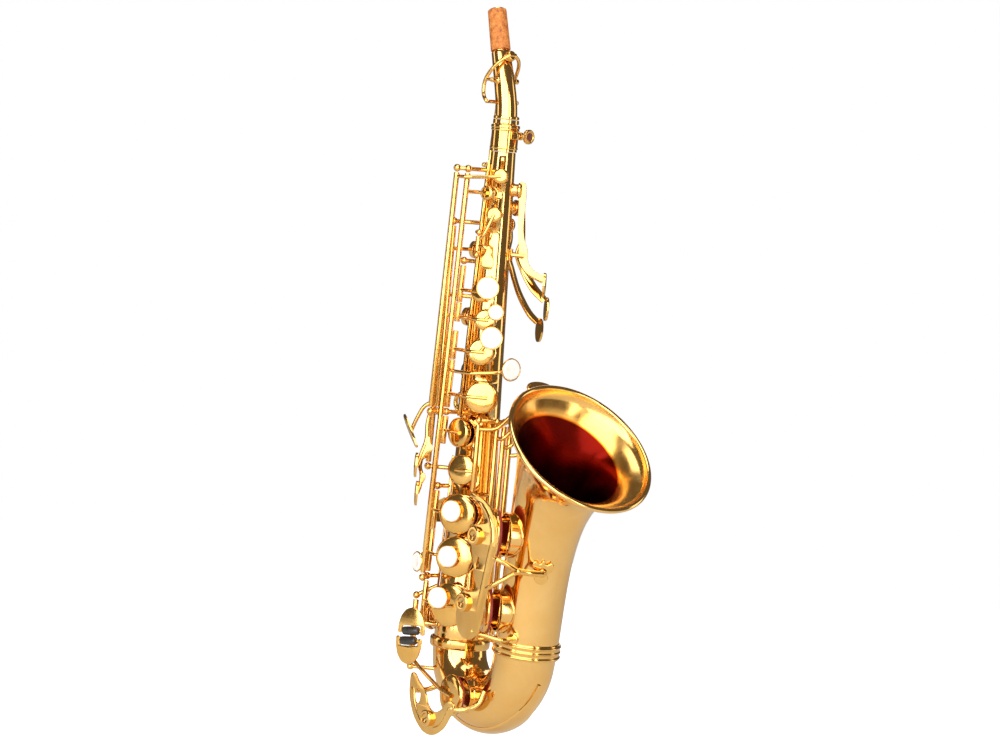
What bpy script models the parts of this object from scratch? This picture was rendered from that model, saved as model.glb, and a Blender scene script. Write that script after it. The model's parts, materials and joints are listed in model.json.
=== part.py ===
"""Curved soprano saxophone in gold-lacquered brass, as separate named pieces.

Shapes are drawn in millimetres in the instrument's own frame: the body tube
runs up +Z from z = 0 at the bow, the bell faces F (-Y in the world) and R is
the player's right (-X in the world).  Each finished piece is scaled to metres
and moved so that the strap ring, which the instrument hangs from, is at the
world origin.  A key is drawn closed on its tone hole and then turned about
its hinge to where its spring holds it.
"""

import math

import bmesh
import bpy
from mathutils import Matrix, Vector

# ---------------------------------------------------------------- dimensions
MM = 0.001
BODY_BOTTOM_RADIUS = 16.8
BODY_TAPER = 0.0296
BODY_LENGTH = 309.0
WALL = 1.0
SEAT_GAP = 0.4            # closed cup to the rim of its tone hole
CHIMNEY_RISE = 2.5        # rim of a tone hole above the tube
CUP_HEIGHT = 4.2
STACK_ANGLE = 110.0       # the stack rods, from the front towards the right
STACK_HEIGHT = 9.5        # stack rods above the tube
TUBE_R = 1.8              # hinge tubes
ARM_R = 1.15
POST_R = 1.3
BALL_R = 2.4
STACK_TRAVEL = 3.0
SIDE_TRAVEL = 2.6
BELL_TRAVEL = 4.2

RECEIVER_OUT = 8.4
RECEIVER_IN = 6.7
TENON_OUT = 6.35
TENON_IN = 5.3

BOW_END = (67.8, 7.0)
BOW_DEPTH = 32.5
BELL_START = (68.0, 7.4)
RIM_CENTRE = (102.4, 135.7)
RIM_NORMAL = (0.695, 0.719)
RIM_RADIUS = 48.0
RIM_ROLL = 1.6
BELL_SIDE_ANGLE = 110.0   # the way the bell's two tone holes face


BRASS = (0.83, 0.56, 0.21, 1.0)
BRASS_DEEP = (0.72, 0.44, 0.14, 1.0)
PEARL = (0.93, 0.90, 0.89, 1.0)
CORK = (0.66, 0.38, 0.19, 1.0)
BLACK = (0.02, 0.02, 0.02, 1.0)
FELT = (0.16, 0.20, 0.12, 1.0)

JOINTS = {}
ORIGIN = Vector((0.0, 0.0, 0.0))


# ------------------------------------------------------------------- helpers
def at(front, right, z):
    """A point from its distance to the front, to the right and up."""
    return Vector((-right, -front, z))


def pol(angle, radius, z):
    """A point round the body: the angle goes from the front to the right."""
    a = math.radians(angle)
    return at(radius * math.cos(a), radius * math.sin(a), z)


def out(angle):
    return pol(angle, 1.0, 0.0)


def rb(z):
    """Outside radius of the body tube."""
    return BODY_BOTTOM_RADIUS - BODY_TAPER * z


def put(bm, matrix=None, name="piece"):
    if matrix is not None:
        bmesh.ops.transform(bm, matrix=matrix, verts=bm.verts)
    bmesh.ops.recalc_face_normals(bm, faces=bm.faces)
    mesh = bpy.data.meshes.new(name)
    bm.to_mesh(mesh)
    bm.free()
    obj = bpy.data.objects.new(name, mesh)
    bpy.context.scene.collection.objects.link(obj)
    return obj


def aim(point, direction):
    """A matrix that stands a shape's own Z along a direction at a point."""
    turn = direction.normalized().to_track_quat("Z", "Y").to_matrix().to_4x4()
    return Matrix.Translation(point) @ turn


def frame(point, x, y, z):
    m = Matrix((x.normalized(), y.normalized(), z.normalized())).transposed().to_4x4()
    return Matrix.Translation(point) @ m


def rod(a, b, radius, sides=6, radius_b=None):
    bm = bmesh.new()
    bmesh.ops.create_cone(bm, cap_ends=True, segments=sides, radius1=radius,
                          radius2=radius if radius_b is None else radius_b,
                          depth=(b - a).length)
    return put(bm, aim((a + b) / 2, b - a))


def ball(point, radius, sides=6):
    bm = bmesh.new()
    bmesh.ops.create_uvsphere(bm, u_segments=sides, v_segments=4, radius=radius)
    return put(bm, Matrix.Translation(point))


def box(point, x, y, z, size):
    bm = bmesh.new()
    bmesh.ops.create_cube(bm, size=1.0)
    bmesh.ops.scale(bm, vec=size, verts=bm.verts)
    return put(bm, frame(point, x, y, z))


def evaluated(obj):
    """The object's evaluated mesh as a plain mesh object; the object goes."""
    bpy.context.view_layer.update()
    graph = bpy.context.evaluated_depsgraph_get()
    mesh = bpy.data.meshes.new_from_object(obj.evaluated_get(graph))
    mesh.transform(obj.matrix_world)
    bpy.data.objects.remove(obj, do_unlink=True)
    bm = bmesh.new()
    bm.from_mesh(mesh)
    bmesh.ops.remove_doubles(bm, verts=bm.verts, dist=0.0001)
    bpy.data.meshes.remove(mesh)
    return put(bm)


def wire(points, radius, sides=6, cyclic=False, smooth=False):
    """A round bar along points."""
    curve = bpy.data.curves.new("wire", "CURVE")
    curve.dimensions = "3D"
    curve.bevel_depth = radius
    curve.bevel_resolution = max(0, sides // 2 - 2)
    curve.use_fill_caps = True
    curve.resolution_u = 3
    spline = curve.splines.new("BEZIER" if smooth else "POLY")
    if smooth:
        spline.bezier_points.add(len(points) - 1)
        for knot, point in zip(spline.bezier_points, points):
            knot.co = point
            knot.handle_left_type = knot.handle_right_type = "AUTO"
    else:
        spline.points.add(len(points) - 1)
        for knot, point in zip(spline.points, points):
            knot.co = (*point, 1.0)
    spline.use_cyclic_u = cyclic
    obj = bpy.data.objects.new("wire", curve)
    bpy.context.scene.collection.objects.link(obj)
    return evaluated(obj)


def flat(outline, thickness, matrix, smooth=False, holes=()):
    """A plate from a flat outline, standing on the XY plane of a matrix."""
    curve = bpy.data.curves.new("flat", "CURVE")
    curve.dimensions = "2D"
    curve.fill_mode = "BOTH"
    curve.extrude = thickness / 2
    curve.resolution_u = 2
    for loop in (outline, *holes):
        spline = curve.splines.new("BEZIER" if smooth else "POLY")
        if smooth:
            spline.bezier_points.add(len(loop) - 1)
            for knot, (x, y) in zip(spline.bezier_points, loop):
                knot.co = (x, y, 0)
                knot.handle_left_type = knot.handle_right_type = "AUTO"
        else:
            spline.points.add(len(loop) - 1)
            for knot, (x, y) in zip(spline.points, loop):
                knot.co = (x, y, 0, 1)
        spline.use_cyclic_u = True
    obj = bpy.data.objects.new("flat", curve)
    bpy.context.scene.collection.objects.link(obj)
    obj.matrix_world = matrix
    return evaluated(obj)


def turned(profile, point, direction, steps=16):
    """A turned shape: (radius, height) pairs from the top down, spun round."""
    mesh = bpy.data.meshes.new("turned")
    bm = bmesh.new()
    knots = [bm.verts.new((r, 0.0, h)) for r, h in profile]
    for a, b in zip(knots, knots[1:]):
        bm.edges.new((a, b))
    bm.to_mesh(mesh)
    bm.free()
    obj = bpy.data.objects.new("turned", mesh)
    bpy.context.scene.collection.objects.link(obj)
    screw = obj.modifiers.new("Screw", "SCREW")
    screw.steps = screw.render_steps = steps
    screw.use_merge_vertices = True
    screw.merge_threshold = 0.0001
    obj.matrix_world = aim(point, direction)
    return evaluated(obj)


def sweep(sections, closed=False):
    """A ring of points carried from section to section, with ends filled."""
    bm = bmesh.new()
    ring = [bm.verts.new(p) for p in sections[0]]
    edges = [bm.edges.new((a, b)) for a, b in zip(ring, ring[1:] + ring[:1])]
    first = edges
    for section in sections[1:]:
        grown = bmesh.ops.extrude_edge_only(bm, edges=edges)["geom"]
        new = {v for v in grown if isinstance(v, bmesh.types.BMVert)}
        ring = [next(e.other_vert(v) for e in v.link_edges if e.other_vert(v) in new)
                for v in ring]
        for vert, point in zip(ring, section):
            vert.co = point
        edges = [e for e in grown if isinstance(e, bmesh.types.BMEdge)
                 and e.verts[0] in new and e.verts[1] in new]
    if closed:
        bmesh.ops.remove_doubles(bm, verts=bm.verts, dist=0.0001)
    else:
        bmesh.ops.edgeloop_fill(bm, edges=first)
        bmesh.ops.edgeloop_fill(bm, edges=edges)
    return put(bm)


def rings(path, count):
    """Round sections along (centre, direction, radius) triples, in the F-z plane."""
    side = at(0.0, 1.0, 0.0)
    sections = []
    for centre, direction, radius in path:
        up = direction.normalized().cross(side)
        sections.append([centre + radius * (side * math.cos(t) + up * math.sin(t))
                         for t in (2 * math.pi * i / count for i in range(count))])
    return sections


def boolean(base, others, operation):
    tools = bpy.data.collections.new("tools")
    bpy.context.scene.collection.children.link(tools)
    for other in others:
        for home in list(other.users_collection):
            home.objects.unlink(other)
        tools.objects.link(other)
    modifier = base.modifiers.new("Boolean", "BOOLEAN")
    modifier.operation = operation
    modifier.solver = "EXACT"
    modifier.operand_type = "COLLECTION"
    modifier.collection = tools
    result = evaluated(base)
    for other in others:
        bpy.data.objects.remove(other, do_unlink=True)
    bpy.data.collections.remove(tools)
    return result


def fuse(pieces):
    return boolean(pieces[0], pieces[1:], "UNION") if len(pieces) > 1 else pieces[0]


def cut(base, cutters):
    return boolean(base, cutters, "DIFFERENCE")


def material(name, colour, metallic, roughness):
    found = bpy.data.materials.get(name)
    if found:
        return found
    made = bpy.data.materials.new(name)
    made.use_nodes = True
    shader = made.node_tree.nodes["Principled BSDF"]
    shader.inputs["Base Color"].default_value = colour
    shader.inputs["Metallic"].default_value = metallic
    shader.inputs["Roughness"].default_value = roughness
    return made


def finish(name, pieces, slot="brass", pivot=None, parent=None, turn=None):
    """Joins pieces, names the result, gives its material and sets its origin."""
    obj = fuse(pieces)
    if turn is not None:
        obj.data.transform(turn)
    colour, metallic, roughness = {
        "brass": (BRASS, 1.0, 0.22), "body_brass": (BRASS_DEEP, 1.0, 0.2),
        "pearl": (PEARL, 0.0, 0.3), "cork": (CORK, 0.0, 0.85),
        "black": (BLACK, 0.0, 0.35), "felt": (FELT, 0.0, 0.95)}[slot]
    obj.name = name
    obj.data.name = name
    obj.data.materials.clear()
    obj.data.materials.append(material(name + "_" + slot, colour, metallic, roughness))
    place = Vector(pivot) if pivot is not None else Vector((0, 0, 0))
    obj.data.transform(Matrix.Scale(MM, 4) @ Matrix.Translation(-place))
    obj.location = (place - ORIGIN) * MM
    for home in list(obj.users_collection):
        home.objects.unlink(obj)
    PARTS.objects.link(obj)
    return obj


# --------------------------------------------------------------- key helpers
def cup(centre, normal, radius, height=CUP_HEIGHT, steps=12):
    """A pad cup: a shallow round cap with a rolled edge and a low dome."""
    return turned([(0, height), (radius * 0.8, height), (radius, height - 1.4), (radius, 0),
                   (0, 0)], centre, normal, steps)


def pearl_holder(centre, normal, radius):
    return turned([(0, 1.6), (radius + 0.7, 1.6), (radius * 0.7, 0), (0, 0)], centre, normal, 10)


def pearl(name, centre, normal, radius, turn, pivot):
    piece = turned([(0, 1.75), (radius * 0.75, 1.4), (radius, 0), (0, 0)],
                   centre + normal * 1.9, normal, 10)
    return finish(name, [piece], "pearl", pivot=pivot, turn=turn)


class Hinge:
    """A hinge line, and how far a key on it turns to move its cup by a travel."""

    def __init__(self, low, high, cup_at, normal, travel, rests_open):
        self.low, self.high = low, high
        self.mid = (low + high) / 2
        line = (high - low).normalized()
        swing = line.cross(cup_at - low)
        reach = swing.length
        self.angle = travel / reach
        lifting = line if swing.dot(normal) > 0 else -line
        self.axis = -lifting if rests_open else lifting
        self.turn = None
        if rests_open:
            rotate = Matrix.Rotation(self.angle, 4, lifting)
            self.turn = Matrix.Translation(low) @ rotate @ Matrix.Translation(-low)

    def joint(self, name, press=1.0):
        JOINTS[name] = {
            "pos": [round(float(c), 6) for c in (self.mid - ORIGIN) * MM],
            "axis": [round(float(c), 6) for c in self.axis],
            "range": [0.0, round(math.degrees(self.angle) * press, 3)],
        }


def stack_point(z, angle=STACK_ANGLE, height=STACK_HEIGHT):
    return pol(angle, rb(z) + height, z)


def cup_frame(angle, z, rise=CHIMNEY_RISE):
    """Where a closed cup sits over a body tone hole: its point and its normal."""
    return pol(angle, rb(z) + rise + SEAT_GAP, z), out(angle)


def over_arm(hinge_point, cup_point, normal, radius, lift=0.5, reach=-0.35, height=CUP_HEIGHT):
    """An arm from the hinge up over the edge of a cup to beyond its middle."""
    top = cup_point + normal * (height + lift)
    away = hinge_point - cup_point
    away = (away - normal * away.dot(normal))
    away = Vector((away.x, away.y, 0.0)) if abs(away.z) < 3 else away
    away.normalize()
    base = hinge_point.copy()
    return [base, cup_point + away * (radius + 1.2) + normal * (height * 0.62),
            top + away * (radius * 0.62), top + away * radius * reach]


# --------------------------------------------------------------------- start
for old in list(bpy.data.objects):
    bpy.data.objects.remove(old, do_unlink=True)
PARTS = bpy.data.collections.new("soprano_saxophone")
bpy.context.scene.collection.children.link(PARTS)

STRAP_EYE = pol(180, rb(150) + 9.0, 150)
ORIGIN = STRAP_EYE.copy()

# Tone holes on the body: name -> (angle, height, chimney radius, cup radius)
HOLES = {
    "side_e": (38, 294.0, 3.9, 4.9), "high_fs": (72, 283.0, 3.9, 4.9),
    "front_f": (46, 270.0, 4.0, 5.0), "b": (54, 222.0, 5.2, 6.6),
    "bis": (38, 205.0, 5.4, 6.8), "a": (41, 185.0, 7.2, 8.6),
    "g": (31, 157.0, 9.0, 10.4), "fs": (72, 134.0, 8.0, 9.4),
    "g_sharp": (63, 111.0, 8.4, 9.8), "f": (57, 83.8, 11.0, 12.6),
    "e": (54, 57.0, 11.3, 12.8), "d": (56, 27.0, 11.9, 13.6),
    "side_c": (154, 247.0, 4.6, 5.6), "side_bb": (154, 205.0, 4.9, 5.9),
    "palm_f": (-50, 286.0, 3.9, 4.9), "palm_eb": (-82, 275.0, 4.1, 5.1),
    "palm_d": (-114, 264.0, 4.3, 5.3), "eb": (150, 17.0, 9.0, 10.4),
    "low_cs": (-75, 20.0, 8.6, 10.0),
}
PIP = (210, 240.0)

# ------------------------------------------------------------------ the tube
def body_tube():
    up = Vector((0, 0, 1))
    pieces = [rod(at(0, 0, 0.15), at(0, 0, BODY_LENGTH), rb(0), 24, rb(BODY_LENGTH))]
    bores = [rod(at(0, 0, -2), at(0, 0, BODY_LENGTH + 2), rb(-2) - WALL, 24,
                 rb(BODY_LENGTH + 2) - WALL)]
    for angle, z, radius, _ in HOLES.values():
        n = out(angle)
        foot = at(0, 0, z)
        sides = 8 if radius < 6 else 12
        pieces.append(rod(foot + n * 2, foot + n * (rb(z) + CHIMNEY_RISE), radius, sides))
        bores.append(rod(foot + n * 3, foot + n * (rb(z) + CHIMNEY_RISE + 2), radius - 0.8, sides))
    angle, z = PIP
    foot = at(0, 0, z)
    pieces.append(rod(foot + out(angle) * 4, foot + out(angle) * (rb(z) + 3.0), 1.9, 6))
    bores.append(rod(foot + out(angle) * 5, foot + out(angle) * (rb(z) + 4.5), 0.9, 6))
    # posts soldered straight to the tube: the foot of the stack rod, and the
    # two cheeks that the body octave key rocks between
    p = stack_point(12.5)
    pieces += [rod(pol(103, rb(12) - 0.5, 12.5), p, POST_R, 6), ball(p, BALL_R)]
    n, t = out(angle), out(angle + 90)
    for s in (-1, 1):
        cheek = pol(angle, rb(227), 227.0) + t * s * 3.5
        pieces.append(rod(cheek - n * 1.4, cheek + n * 6.8, 1.1, 6))
    finish("body_tube", [cut(fuse(pieces), bores)], "body_brass")


def bow_path():
    reach = BOW_END[0] / 2
    path = []
    for i in range(9):
        t = math.pi * i / 8
        f = reach - reach * math.cos(t)
        z = -BOW_DEPTH * math.sin(t) + BOW_END[1] * (i / 8) ** 2
        df, dz = reach * math.sin(t), -BOW_DEPTH * math.cos(t)
        path.append((at(f, 0, z - 0.15 if i == 0 else z), at(df, 0, dz).normalized(),
                     BODY_BOTTOM_RADIUS + (19.2 - BODY_BOTTOM_RADIUS) * i / 8))
    path[0] = (path[0][0], at(0, 0, -1), path[0][2])
    path[-1] = (path[-1][0], at(0.08, 0, 1), path[-1][2])
    return path


LOW_C = (33.0, -25.5, 11.2, 12.8)     # F, z, chimney radius, cup radius


def bow():
    path = bow_path()
    outer = sweep(rings(path, 20))
    ends = [(path[0][0] - path[0][1] * 2, path[0][1], path[0][2] - WALL)]
    ends += [(c, d, r - WALL) for c, d, r in path[1:-1]]
    ends += [(path[-1][0] + path[-1][1] * 2, path[-1][1], path[-1][2] - WALL)]
    inner = sweep(rings(ends, 20))
    side = at(0, 1, 0)
    foot = at(LOW_C[0], 0, LOW_C[1])
    chimney = rod(foot + side * 6, foot + side * 21.2, LOW_C[2], 14)
    bore = rod(foot + side * 7, foot + side * 23.5, LOW_C[2] - 0.9, 14)
    low = SIDE_RODS["pinky"][0]
    finish("bow", [cut(fuse([outer, chimney, rod(at(-4.5, 13.6, -16.0), low, POST_R, 6),
                             ball(low, BALL_R)]), [inner, bore])], "body_brass")


def bell_point(t):
    p0 = Vector(BELL_START)
    p3 = Vector(RIM_CENTRE)
    p1 = p0 + 40 * Vector((0.08, 1.0))
    p2 = p3 - 48 * Vector(RIM_NORMAL)
    s = 1 - t
    p = s ** 3 * p0 + 3 * s * s * t * p1 + 3 * s * t * t * p2 + t ** 3 * p3
    d = 3 * s * s * (p1 - p0) + 6 * s * t * (p2 - p1) + 3 * t * t * (p3 - p2)
    return at(p.x, 0, p.y), at(d.x, 0, d.y).normalized()


BELL_RADII = [(0, 19.2), (0.4, 20.5), (0.6, 22.4), (0.76, 26.4), (0.87, 31.8),
              (0.95, 39.2), (1.0, RIM_RADIUS)]
BELL_HOLES = {"low_b": (32.0, 13.2, 15.2), "low_bb": (79.0, 13.6, 15.6)}


def bell_at(z):
    """The bell's centre line and radius at a height."""
    low, high = 0.0, 1.0
    for _ in range(40):
        t = (low + high) / 2
        if bell_point(t)[0].z < z:
            low = t
        else:
            high = t
    radius = BELL_RADII[-1][1]
    for (a, ra), (b, rb_) in zip(BELL_RADII, BELL_RADII[1:]):
        if a <= t <= b:
            radius = ra + (rb_ - ra) * (t - a) / (b - a)
    return bell_point(t)[0], radius


def bell():
    wall = []
    for t, r in BELL_RADII:
        centre, direction = bell_point(t)
        wall.append((centre, direction, r))
    centre, n = wall[-1][0], wall[-1][1]
    roll = []
    for k in range(4):
        a = math.radians(-60 + 80 * k)
        roll.append((centre + n * (RIM_ROLL * math.sin(a) + 1.2), n,
                     RIM_RADIUS - 0.4 + RIM_ROLL * math.cos(a)))
    inner = [(c, d, r - WALL) for c, d, r in wall]
    inner[0] = (inner[0][0], inner[0][1], inner[0][2])
    loop = wall[:-1] + roll + [(c - d * 0.2, d, r - 0.3) for c, d, r in inner[-1:]]
    loop += inner[-2::-1]
    sections = rings(loop, 28)
    shell = sweep(sections + [sections[0]], closed=True)
    n = out(BELL_SIDE_ANGLE)
    pipes, bores = [], []
    for z, radius, _ in BELL_HOLES.values():
        c, r = bell_at(z)
        pipe = rod(c + n * (r - 9.0), c + n * (r + CHIMNEY_RISE + 0.3), radius, 14)
        core_path = [(p, d, q - WALL / 2) for p, d, q in wall]
        core = sweep(rings(core_path, 28))
        pipes.append(cut(pipe, [core]))
        bores.append(rod(c + n * (r - 12.0), c + n * (r + 6), radius - 0.9, 14))
    finish("bell", [cut(fuse([shell] + pipes), bores)], "body_brass")


def band(name, centre, direction, inner, outer, half, beads=False):
    profile = [(outer, half), (outer, -half), (inner, -half), (inner, half), (outer, half)]
    if beads:
        profile = [(outer - 0.7, half), (outer + 0.3, half * 0.72), (outer - 0.5, half * 0.4),
                   (outer - 0.5, -half * 0.4), (outer + 0.3, -half * 0.72),
                   (outer - 0.7, -half), (inner, -half), (inner, half), (outer - 0.7, half)]
    finish(name, [turned(profile, centre, direction, 24)], "brass")


def neck_point(t):
    knots = [Vector((0, 329.2)), Vector((-1.2, 338.0)), Vector((-4.0, 348.5)),
             Vector((-7.8, 359.5)), Vector((-11.6, 370.0)), Vector((-19.9, 397.2))]
    i = min(int(t), len(knots) - 2)
    p = knots[i].lerp(knots[i + 1], t - i)
    d = (knots[min(i + 1, 5)] - knots[max(i - (1 if t == i else 0), 0)]).normalized()
    return at(p.x, 0, p.y), at(d.x, 0, d.y)


PIVOT_OCTAVE = at(-5.2, 0, 353.0)


def neck():
    radii = [6.8, 6.75, 6.6, 6.3, 5.9, 4.6]
    path = []
    for i, r in enumerate(radii):
        point, direction = neck_point(i)
        if i == 0:
            direction = Vector((0, 0, 1))
        path.append((point, direction, r))
    step, stepd = neck_point(4)
    shoulder = (step + stepd * 0.8, stepd, 4.75)
    path.insert(5, shoulder)
    outer = sweep(rings(path, 16))
    inner_path = [(c, d, r - (1.0 if i < 5 else 0.9)) for i, (c, d, r) in enumerate(path)]
    inner_path[0] = (inner_path[0][0] - Vector((0, 0, 2)), inner_path[0][1], inner_path[0][2])
    inner_path[4] = (inner_path[4][0], inner_path[4][1], 4.3)
    inner_path[5] = (inner_path[5][0], inner_path[5][1], 3.85)
    tip, tipd = neck_point(5)
    inner_path[-1] = (tip + tipd * 2, tipd, 3.5)
    inner = sweep(rings(inner_path, 16))
    collar = rod(at(0, 0, 329.2), at(0, 0, 331.4), 8.0, 16)
    side = at(0, 1, 0)
    posts = [rod(PIVOT_OCTAVE + side * s * 4.0, PIVOT_OCTAVE + side * s * 7.6, 1.5, 8)
             for s in (-1, 1)]
    c, d = neck_point(3.55)
    front = d.cross(side).normalized()
    front = front if front.y < 0 else -front
    pip = rod(c + front * 3.0, c + front * 7.6, 1.8, 10)
    bore = rod(c + front * 2.0, c + front * 9.0, 0.8, 8)
    tube = cut(fuse([outer, collar] + posts + [pip]), [inner, bore])
    base = at(0, 0, 329.2)
    JOINTS["neck_swivel"] = {"pos": vec(base), "axis": [0, 0, 1], "range": [-30, 30]}
    finish("neck_tube", [tube], "body_brass", pivot=base)
    # cork sleeve
    a, da = neck_point(4)
    tipp, tipd = neck_point(5)
    low = a + tipd * 1.6
    high = tipp - tipd * 0.6
    outer = rod(low, high, 6.2, 16, 5.8)
    inner = rod(low - tipd * 2, high + tipd * 2, 5.08, 16, 4.82)
    finish("neck_cork", [cut(outer, [inner])], "cork", pivot=base)
    # tenon with its collar
    shape = [(8.1, 329.0), (8.1, 326.4), (TENON_OUT, 326.4), (TENON_OUT, 311.0),
             (TENON_IN, 311.0), (TENON_IN, 329.0), (8.1, 329.0)]
    JOINTS["neck_slide"] = {"pos": vec(at(0, 0, 326.4)), "axis": [0, 0, 1], "range": [0, 0.014]}
    finish("neck_tenon", [turned(shape, at(0, 0, 0), Vector((0, 0, 1)), 18)], "body_brass",
           pivot=at(0, 0, 326.4))
    # octave key on the neck: a loop round the tube, with a cup on the pip
    loop = []
    for deg in (-62, -31, 0, 31, 62):
        loop.append(pol(180 + deg, 13.4, 339.5))
    hinge_r = [PIVOT_OCTAVE + side * s * 9.2 for s in (1, -1)]
    seat = c + front * (7.6 + SEAT_GAP)
    top = seat + front * 3.2
    legs = []
    for s in (1, -1):
        legs.append([top + at(0, s * 2.0, -0.3), at(-1.4, s * 6.6, 365.6), at(-5.2, s * 9.6, 360.6),
                     at(-9.6, s * 10.9, 354.4), at(-11.6, s * 11.0, 348.6), at(-10.2, s * 11.4, 343.0)])
    path = legs[0] + loop + legs[1][::-1]
    bosses = [wire([hinge_r[i] + side * s * 0.4, legs[i][3] + (legs[i][4] - legs[i][3]) * 0.2], 1.1, 6)
              for i, s in ((0, 1), (1, -1))]
    key = [wire(path, 1.2, 6), *bosses, cup(seat, front, 3.4, 3.4, 12),
           rod(hinge_r[0] - side * 1.2, hinge_r[0] + side * 1.0, 1.6, 8),
           rod(hinge_r[1] + side * 1.2, hinge_r[1] - side * 1.0, 1.6, 8),
           rod(top + at(0, 3.4, 0), top + at(0, -3.4, 0), 1.0, 6)]
    JOINTS["neck_octave"] = {"pos": vec(PIVOT_OCTAVE), "axis": [1, 0, 0], "range": [0, 6.0]}
    finish("neck_octave_key", key, "brass", pivot=PIVOT_OCTAVE)


def vec(point):
    return [round(float(c), 6) for c in (point - ORIGIN) * MM]


SCREW_ANGLE = -10.0


def receiver():
    shape = [(RECEIVER_OUT + 0.5, 325.9), (RECEIVER_OUT + 0.5, 322.6), (RECEIVER_OUT, 322.2),
             (RECEIVER_OUT, 311.0), (rb(309) + 0.6, 309.3), (RECEIVER_IN, 309.3),
             (RECEIVER_IN, 325.9), (RECEIVER_OUT + 0.5, 325.9)]
    sleeve = turned(shape, at(0, 0, 0), Vector((0, 0, 1)), 20)
    # two lugs either side of the slit, with a barrel for the clamp screw
    line = out(SCREW_ANGLE - 90)
    n = out(SCREW_ANGLE)
    lug_a = box(n * 10.3 + line * -1.9 + at(0, 0, 319.6), line, n, Vector((0, 0, 1)), (2.2, 5.4, 5.6))
    lug_b = box(n * 10.3 + line * 1.9 + at(0, 0, 319.6), line, n, Vector((0, 0, 1)), (2.2, 5.4, 5.6))
    slit = box(n * 9.5 + at(0, 0, 321.0), line, n, Vector((0, 0, 1)), (1.4, 8.5, 14.0))
    hole = rod(n * 11.2 + line * -5 + at(0, 0, 319.6), n * 11.2 + line * 5 + at(0, 0, 319.6), 1.35, 10)
    finish("neck_receiver", [cut(fuse([sleeve, lug_a, lug_b]), [slit, hole])], "brass")
    a = n * 11.2 + at(0, 0, 319.6)
    shank = rod(a - line * 2.9, a + line * 6.0, 1.0, 10)
    disc = turned([(0, 1.2), (3.6, 1.2), (4.6, 0.6), (4.6, -0.6), (3.6, -1.2), (0, -1.2)],
                  a + line * 9.6, n, 16)
    neckpiece = rod(a + line * 4.4, a + line * 6.6, 1.9, 10)
    JOINTS["neck_screw"] = {"pos": vec(a), "axis": [round(float(x), 6) for x in line],
                            "range": [-180, 180]}
    finish("neck_screw", [shank, neckpiece, disc], "brass", pivot=a)


# ------------------------------------------------------------ ribs and posts
def post(points, end):
    """A stem along points with a ball at its end, where a hinge tube turns."""
    return [wire(points, POST_R, 6), ball(end, BALL_R)]


def rib(angle, low, high, width=4.0, thick=1.4):
    a = pol(angle, rb(low) + 0.35 + thick / 2, low)
    b = pol(angle, rb(high) + 0.35 + thick / 2, high)
    z = (b - a).normalized()
    n = out(angle)
    x = z.cross(n).normalized()
    return box((a + b) / 2, x, z.cross(x), z, (width, thick, (b - a).length))


def radial_post(angle, end, foot=None, start=None):
    z = end.z
    base = pol(angle if start is None else start, rb(z) + 0.9, z)
    return [rod(base, end, POST_R, 6), ball(end, BALL_R)]


SIDE_RODS = {   # low and high ends of the long rods on the right side
    "side_e": (at(-6.5, 33.6, 145.5), at(-4.5, 30.9, 297.0)),
    "side_c": (at(-9.0, 26.5, 145.5), at(-9.0, 26.5, 264.0)),
    "side_bb": (at(-18.0, 23.5, 110.0), at(-16.2, 23.8, 218.0)),
    "high_fs": (at(-4.0, 30.5, 42.0), at(-1.0, 25.0, 297.0)),
    "pinky": (at(-16.0, 25.0, -16.0), at(-16.0, 25.0, 29.0)),
}
FRONT_RODS = {
    "g_sharp": (at(17.5, 13.5, 96.5), at(17.5, 13.5, 143.0)),
    "low_bb": (at(22.5, 3.0, 58.0), at(22.5, 3.0, 143.0)),
    "low_b": (at(23.0, -2.3, 12.0), at(23.0, -2.3, 143.0)),
    "low_cs": (at(22.5, -7.5, 7.0), at(22.5, -7.5, 143.0)),
}
STACK_POSTS = {"top": 240.0, "mid": 199.0, "join": 145.5, "low1": 99.0, "low2": 42.3, "low3": 12.5}


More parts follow.
